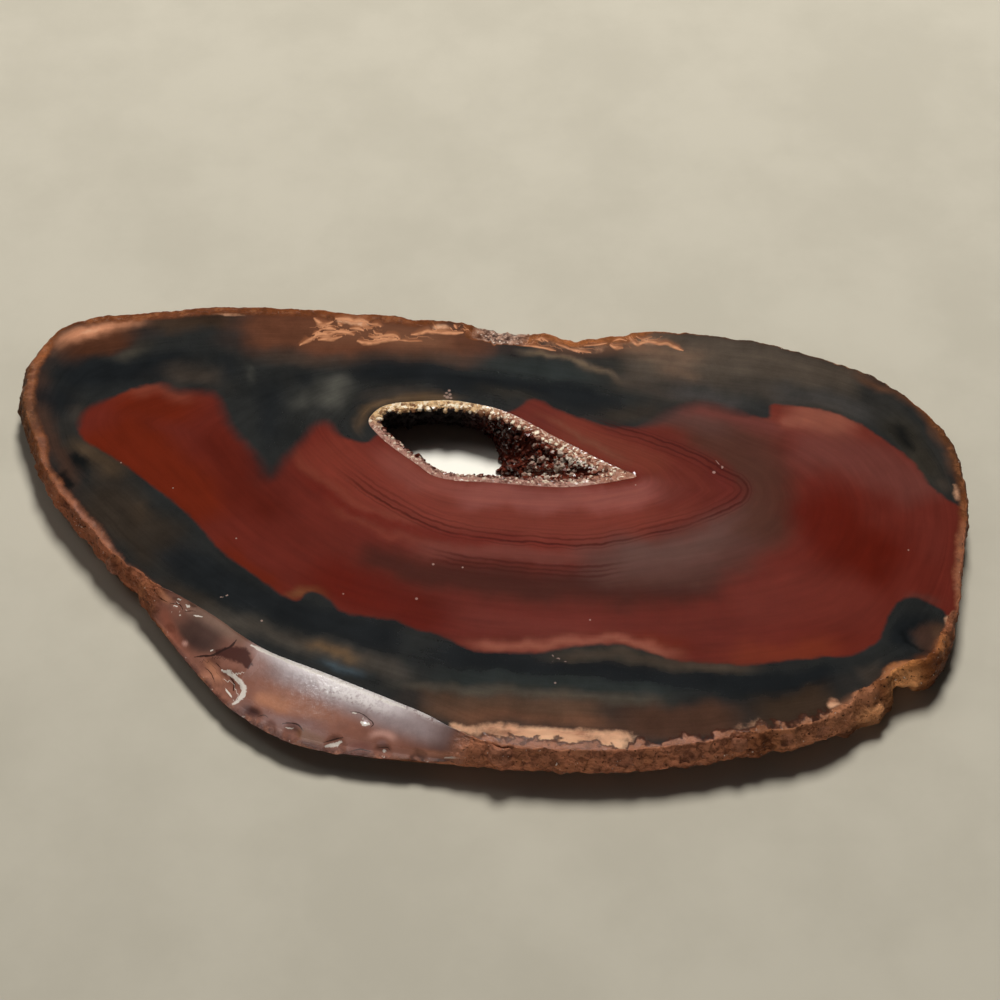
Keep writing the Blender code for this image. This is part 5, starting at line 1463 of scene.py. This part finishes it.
def buildDruse():
    rng = random.Random(druse["seed"])
    loop = evenLoop(hollowRows, druse["steps"])
    top = slab["thickness"]
    lowest = 1 - druse["footGap"] / top
    count = len(loop)
    lineX, lineY, rise = druse["farLine"]
    farSide = easeStep(loop[:, 1] - (lineY + rise * (loop[:, 0] - lineX)), -1.2, 1.2)
    tipSide = easeStep(loop[:, 0], 0.0, 7.0)
    width = druse["nearWidth"] + (druse["farWidth"] - druse["nearWidth"]) * np.maximum(farSide, tipSide)
    width = width * (1 + np.array([lumps(x, y, 0, *druse["widthSway"]) for x, y in loop[:, :2]]))
    downs = np.linspace(0, lowest, druse["rows"])
    outer = []
    for d in (0.0, lowest / 2, lowest):
        height = min(top * (1 - d), top - druse["sunk"])
        outer.append(np.column_stack([insetRing(loop, d, 0.03, 0.3), np.full(count, height)]))
    inner = []
    for d in downs:
        ring = insetRing(loop, d, width + druse["footSpread"] * tipSide * d, 0.85)
        rough = np.array([lumps(x, y, top * (1 - d), *druse["faceSway"]) for x, y in ring])
        towards = ring - insetRing(loop, d, width * 0.5, 0.85)
        towards /= np.hypot(towards[:, 0], towards[:, 1])[:, None] + 1e-6
        ring = ring + towards * rough[:, None]
        inner.append(np.column_stack([ring, np.full(count, min(top * (1 - d), top - druse["mouthDrop"]))]))
    cut = []
    for share in druse["cutRows"]:
        ring = outer[0] * (1 - share) + inner[0] * share
        level = top - druse["sunk"] - druse["mouthDrop"] * share**3
        ring[:, 2] = [level - abs(lumps(p, q, 0, *druse["cutSway"])) for p, q in ring[:, :2]]
        cut.append(ring)
    points = np.concatenate(outer + inner + cut)
    base = len(outer) * count
    faces = [stripFaces(0, count, count), stripFaces(count, 2 * count, count)]
    across = [0] + [(len(outer) + len(inner) + k) * count for k in range(len(cut))] + [base]
    faces += [stripFaces(second, first, count) for first, second in zip(across, across[1:])]
    faces += [stripFaces(base + (k + 1) * count, base + k * count, count) for k in range(len(inner) - 1)]
    faces.append(stripFaces(2 * count, base + (len(inner) - 1) * count, count))
    points = [Vector(p) for p in points]
    faces = [tuple(f) for part in faces for f in part.tolist()]
    tint = [rng.uniform(0.3, 0.7) for _ in points]
    ring = [0.0] * len(points)
    for k in range(count):
        ring[k] = ring[base + k] = 1.0
    ring[(len(outer) + len(inner)) * count:] = [1.0] * (len(cut) * count)

    def plant(foot, towards, half, tall, highest, mouth, leaning, tone):
        start = len(points)
        made, triangles = crystalShape(rng, foot, towards, half, tall, leaning)
        for p in made:
            p.z = min(max(p.z, druse["footGap"]), highest)
        points.extend(made)
        faces.extend(tuple(start + v for v in t) for t in triangles)
        tint.extend([tone] * len(made))
        ring.extend([mouth] * len(made))

    slopeSpots = [k for k in range(count) if tipSide[k] > 0.4]
    for made in range(druse["crystals"] + druse["brightCrystals"]):
        bright = made >= druse["crystals"]
        row = rng.uniform(0, len(inner) - 1.001) * (1 - 0.2 * bright)
        k, share = int(row), row - int(row)
        at = rng.choice(slopeSpots) if bright else rng.randrange(count)
        here = inner[k][at] * (1 - share) + inner[k + 1][at] * share
        side = inner[k][(at + 1) % count] - inner[k][at - 1]
        slope = inner[0][at] - inner[-1][at]
        normal = Vector(np.cross(side, slope)).normalized()
        if normal.dot(Vector((*(np.array([-1.0, 9.2]) - here[:2]), 0))) < 0:
            normal = -normal
        if bright and brushWeight(*here[:2, None], litSlopes)[0] < 0.5:
            continue
        large = rng.uniform(0.5, 1) if bright else rng.random() ** 2
        half = druse["least"] + (druse["most"] - druse["least"]) * large
        tall = half * rng.uniform(0.8, 1.7)
        plant(here, normal, half, tall, top - 0.1, 0.0, 0.3, rng.uniform(0.8, 1) if bright else rng.random())
    for _ in range(druse["mouthCrystals"]):
        at = rng.randrange(count)
        share = 1 - 0.85 * rng.random() ** (1.0 if farSide[at] > 0.5 else 1.6)
        here = outer[0][at] * (1 - share) + inner[0][at] * share
        inward = Vector(inner[0][at] - outer[0][at])
        inward.z = 0
        half = druse["mouthLeast"] + (druse["mouthMost"] - druse["mouthLeast"]) * rng.random() ** 1.7
        half *= 1 + 0.4 * farSide[at]
        here = np.array([here[0], here[1], top - 0.2 - 0.25 * share * rng.random()])
        lift = Vector((0, 0, 1)) + inward.normalized() * rng.uniform(0.0, 1.4) * share
        tall = half * rng.uniform(0.8, 1.7)
        plant(here, lift, half, tall, top - rng.uniform(0.0, 0.06), 1.0, 0.45, rng.random())

    points = np.array(points)
    points[:, :2] -= slab["middle"]
    low, high = np.array(cadBox[0]) / mm, np.array(cadBox[1]) / mm
    points = np.clip(points, low, high)
    piece = meshPiece("hollowCrystals", points, np.array(faces), False)
    mesh = piece.data
    x, y = points[:, 0] + slab["middle"][0], points[:, 1] + slab["middle"][1]
    addField(mesh, "tint", tint)
    addField(mesh, "mouth", ring)
    addField(mesh, "farSide", easeStep(y - (10.2 - 0.36 * (x + 7)), -1.0, 1.4))
    addField(mesh, "litSlope", brushWeight(x, y, litSlopes))
    addField(mesh, "rightSide", easeStep(x, -2.0, 3.5))
    addField(mesh, "leftSide", 1 - easeStep(x, -3.0, 1.0))
    return piece


def makeCrystalMaterial(clouds):
    material, tree, shader = newMaterial("crystalCrust", 0.22)
    cells = addNode(tree, "ShaderNodeTexVoronoi", feature="F1")
    plug(tree, druse["cells"] / mm, cells.inputs["Scale"])
    plug(tree, addNode(tree, "ShaderNodeTexCoord").outputs["Object"], cells.inputs["Vector"])
    chance = addNode(tree, "ShaderNodeSeparateColor")
    plug(tree, cells.outputs["Color"], chance.inputs[0])
    tint = plus(tree, times(tree, fieldValue(tree, "tint"), 0.65), times(tree, chance.outputs[0], 0.35))
    some = ease(tree, tint, 0.20, 0.5)
    few = ease(tree, tint, 0.58, 0.78)
    bright = ease(tree, tint, 0.66, 0.76)
    # painted light: where the slanting wall is lit, its crystals are painted redder, tan and pale
    lit = fieldValue(tree, "litSlope")
    reddened = times(tree, some, plus(tree, times(tree, lit, 0.7), 0.3))
    wall = blendTone(tree, reddened, "druseDeep", "druseRed")
    wall = blendTone(tree, times(tree, lit, times(tree, few, 0.5)), wall, "druseTan")
    wall = blendTone(tree, times(tree, lit, bright), wall, "drusePale")
    # painted shade: the far left wall, in shade under the far rim, is painted near black
    farShade = times(tree, fieldValue(tree, "farSide"), fieldValue(tree, "leftSide"))
    wall = blendTone(tree, times(tree, farShade, 0.9), wall, "druseShadeBlack")
    nearRim = blendTone(tree, some, "druseMauve", "druseRose")
    nearRim = blendTone(tree, times(tree, few, 0.6), nearRim, "druseCream")
    farRim = blendTone(tree, few, blendTone(tree, some, "druseShade", "druseGold"), "druseCream")
    rightRim = blendTone(tree, few, blendTone(tree, some, "druseBrown", "druseTan"), "druseCream")
    farRim = blendTone(tree, fieldValue(tree, "rightSide"), farRim, rightRim)
    rim = blendTone(tree, fieldValue(tree, "farSide"), nearRim, farRim)
    colour = blendTone(tree, fieldValue(tree, "mouth"), wall, rim)
    colour = useGroup(tree, clouds, Color=colour, Amount=0.2, Size=1.6)["Color"]
    plug(tree, colour, shader.inputs["Base Color"])
    inWall = times(tree, farShade, minus(tree, 1.0, fieldValue(tree, "mouth")))
    rough = plus(tree, times(tree, tint, 0.16), times(tree, inWall, 0.6))
    plug(tree, plus(tree, rough, 0.10), shader.inputs["Roughness"])
    return material


table = {
    "half": 2200,
    # the pool of light below is painted on the table, where light falls through the hollow
    "lightPoolMiddle": (-3.5, 7.4),  # of the brighter place under the hollow
    "lightPoolSize": (9.5, 6.0),
}
lightDistance = 0.6     # in metres, as the lights' sizes are; their power is in watts
lights = {
    "keyLight": {"direction": (0.055, 0.609, 0.791), "size": 0.17, "power": 4.35, "tone": (1.0, 0.97, 0.905),
                 "shine": False},
    "sideLight": {"direction": (-0.62, 0.45, 0.64), "size": 0.25, "power": 0.36, "tone": (1.0, 0.95, 0.88),
                  "shine": False},
    "sheenLight": {"direction": (-0.20, 0.23, 0.95), "size": 0.10, "power": 1.5, "fill": False},
    "frontLight": {"direction": (-0.25, -0.95, 0.035), "size": 0.10, "power": 1.3, "tone": (1.0, 0.93, 0.86),
                   "shine": False},
}
room = {"tone": (1.0, 0.97, 0.93, 1), "strength": 0.015}
view = {
    "aim": (1.8, 1.2),      # on the polished face
    "height": 52,           # degrees above the table
    "distance": 230,
    "lens": 79.5,
    "sensor": 36,
}


def buildFloor():
    mesh = bpy.data.meshes.new("paleFloor")
    half = table["half"] * mm
    corners = [(-half, -half, 0), (half, -half, 0), (half, half, 0), (-half, half, 0)]
    mesh.from_pydata(corners, [], [(0, 1, 2, 3)])
    floor = bpy.data.objects.new("paleFloor", mesh)
    bpy.context.scene.collection.objects.link(floor)
    material, tree, shader = newMaterial("paleTable", 0.85, 0.2)
    tone = blendTone(tree, ease(tree, speckle(tree, 0.05, 5.0, 0.6), 0.35, 0.65), "floorShade", "floorPale")
    # painted light: a brighter pool painted on the table under the hollow, where light falls through it
    spot = addNode(tree, "ShaderNodeMapping")
    plug(tree, addNode(tree, "ShaderNodeTexCoord").outputs["Object"], spot.inputs["Vector"])
    middle, sizes = table["lightPoolMiddle"], table["lightPoolSize"]
    spot.inputs["Location"].default_value = [-at / size for at, size in zip(middle, sizes)] + [0]
    spot.inputs["Scale"].default_value = [1 / (size * mm) for size in sizes] + [0]
    away = addNode(tree, "ShaderNodeVectorMath", operation="LENGTH")
    plug(tree, spot.outputs[0], away.inputs[0])
    tone = blendTone(tree, ease(tree, away.outputs["Value"], 0.8, 1.0, 1.0, 0.0), tone, "paintedLightPool")
    plug(tree, tone, shader.inputs["Base Color"])
    mesh.materials.append(material)
    return floor


def addLight(name, direction, size, power, tone=(1, 1, 1), shine=True, fill=True):
    # a round soft light aimed at the slice; without shine it isn't mirrored, without fill it is only mirrored
    data = bpy.data.lights.new(name, "AREA")
    data.shape = "DISK"
    data.size = size
    data.energy = power
    data.color = tone
    lamp = bpy.data.objects.new(name, data)
    aim = Vector(direction).normalized()
    lamp.location = aim * lightDistance
    lamp.rotation_euler = aim.to_track_quat("Z", "Y").to_euler()
    lamp.visible_glossy = shine
    lamp.visible_diffuse = fill
    bpy.context.scene.collection.objects.link(lamp)


def addCamera():
    data = bpy.data.cameras.new("viewCamera")
    data.lens = view["lens"]
    data.sensor_width = view["sensor"]
    camera = bpy.data.objects.new("viewCamera", data)
    height = math.radians(view["height"])
    aimX, aimY = (at - middle for at, middle in zip(view["aim"], slab["middle"]))
    aim = Vector((aimX, aimY, slab["thickness"])) * mm
    camera.location = aim + Vector((0, -math.cos(height), math.sin(height))) * view["distance"] * mm
    camera.rotation_euler = (math.pi / 2 - height, 0, 0)
    data.clip_start = 0.005
    bpy.context.scene.collection.objects.link(camera)
    bpy.context.scene.camera = camera


cloudGroup = makeCloudGroup()
skinGroup = makeRindGroup()

stone = buildStone()
stone.data.materials.append(makePolishMaterial(cloudGroup, skinGroup))
for name, (gloss, facetted) in rind["kinds"].items():
    stone.data.materials.append(makeRindMaterial(name, gloss, cloudGroup, skinGroup, facetted))
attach(stone, "root")
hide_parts("agate_slice")
print("stone:", len(stone.data.polygons), "triangles")

crystals = buildDruse()
crystals.data.materials.append(makeCrystalMaterial(cloudGroup))
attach(crystals, "root")
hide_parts("crystal_crust")
print("crystals:", len(crystals.data.polygons), "triangles")

buildFloor()
for name, settings in lights.items():
    addLight(name, **settings)
addCamera()
world = bpy.data.worlds.new("softRoom")
world.use_nodes = True
background = world.node_tree.nodes["Background"]
background.inputs["Color"].default_value = room["tone"]
background.inputs["Strength"].default_value = room["strength"]
bpy.context.scene.world = world
bpy.context.scene.view_settings.view_transform = "Standard"
print("floor, lights and camera are in place")
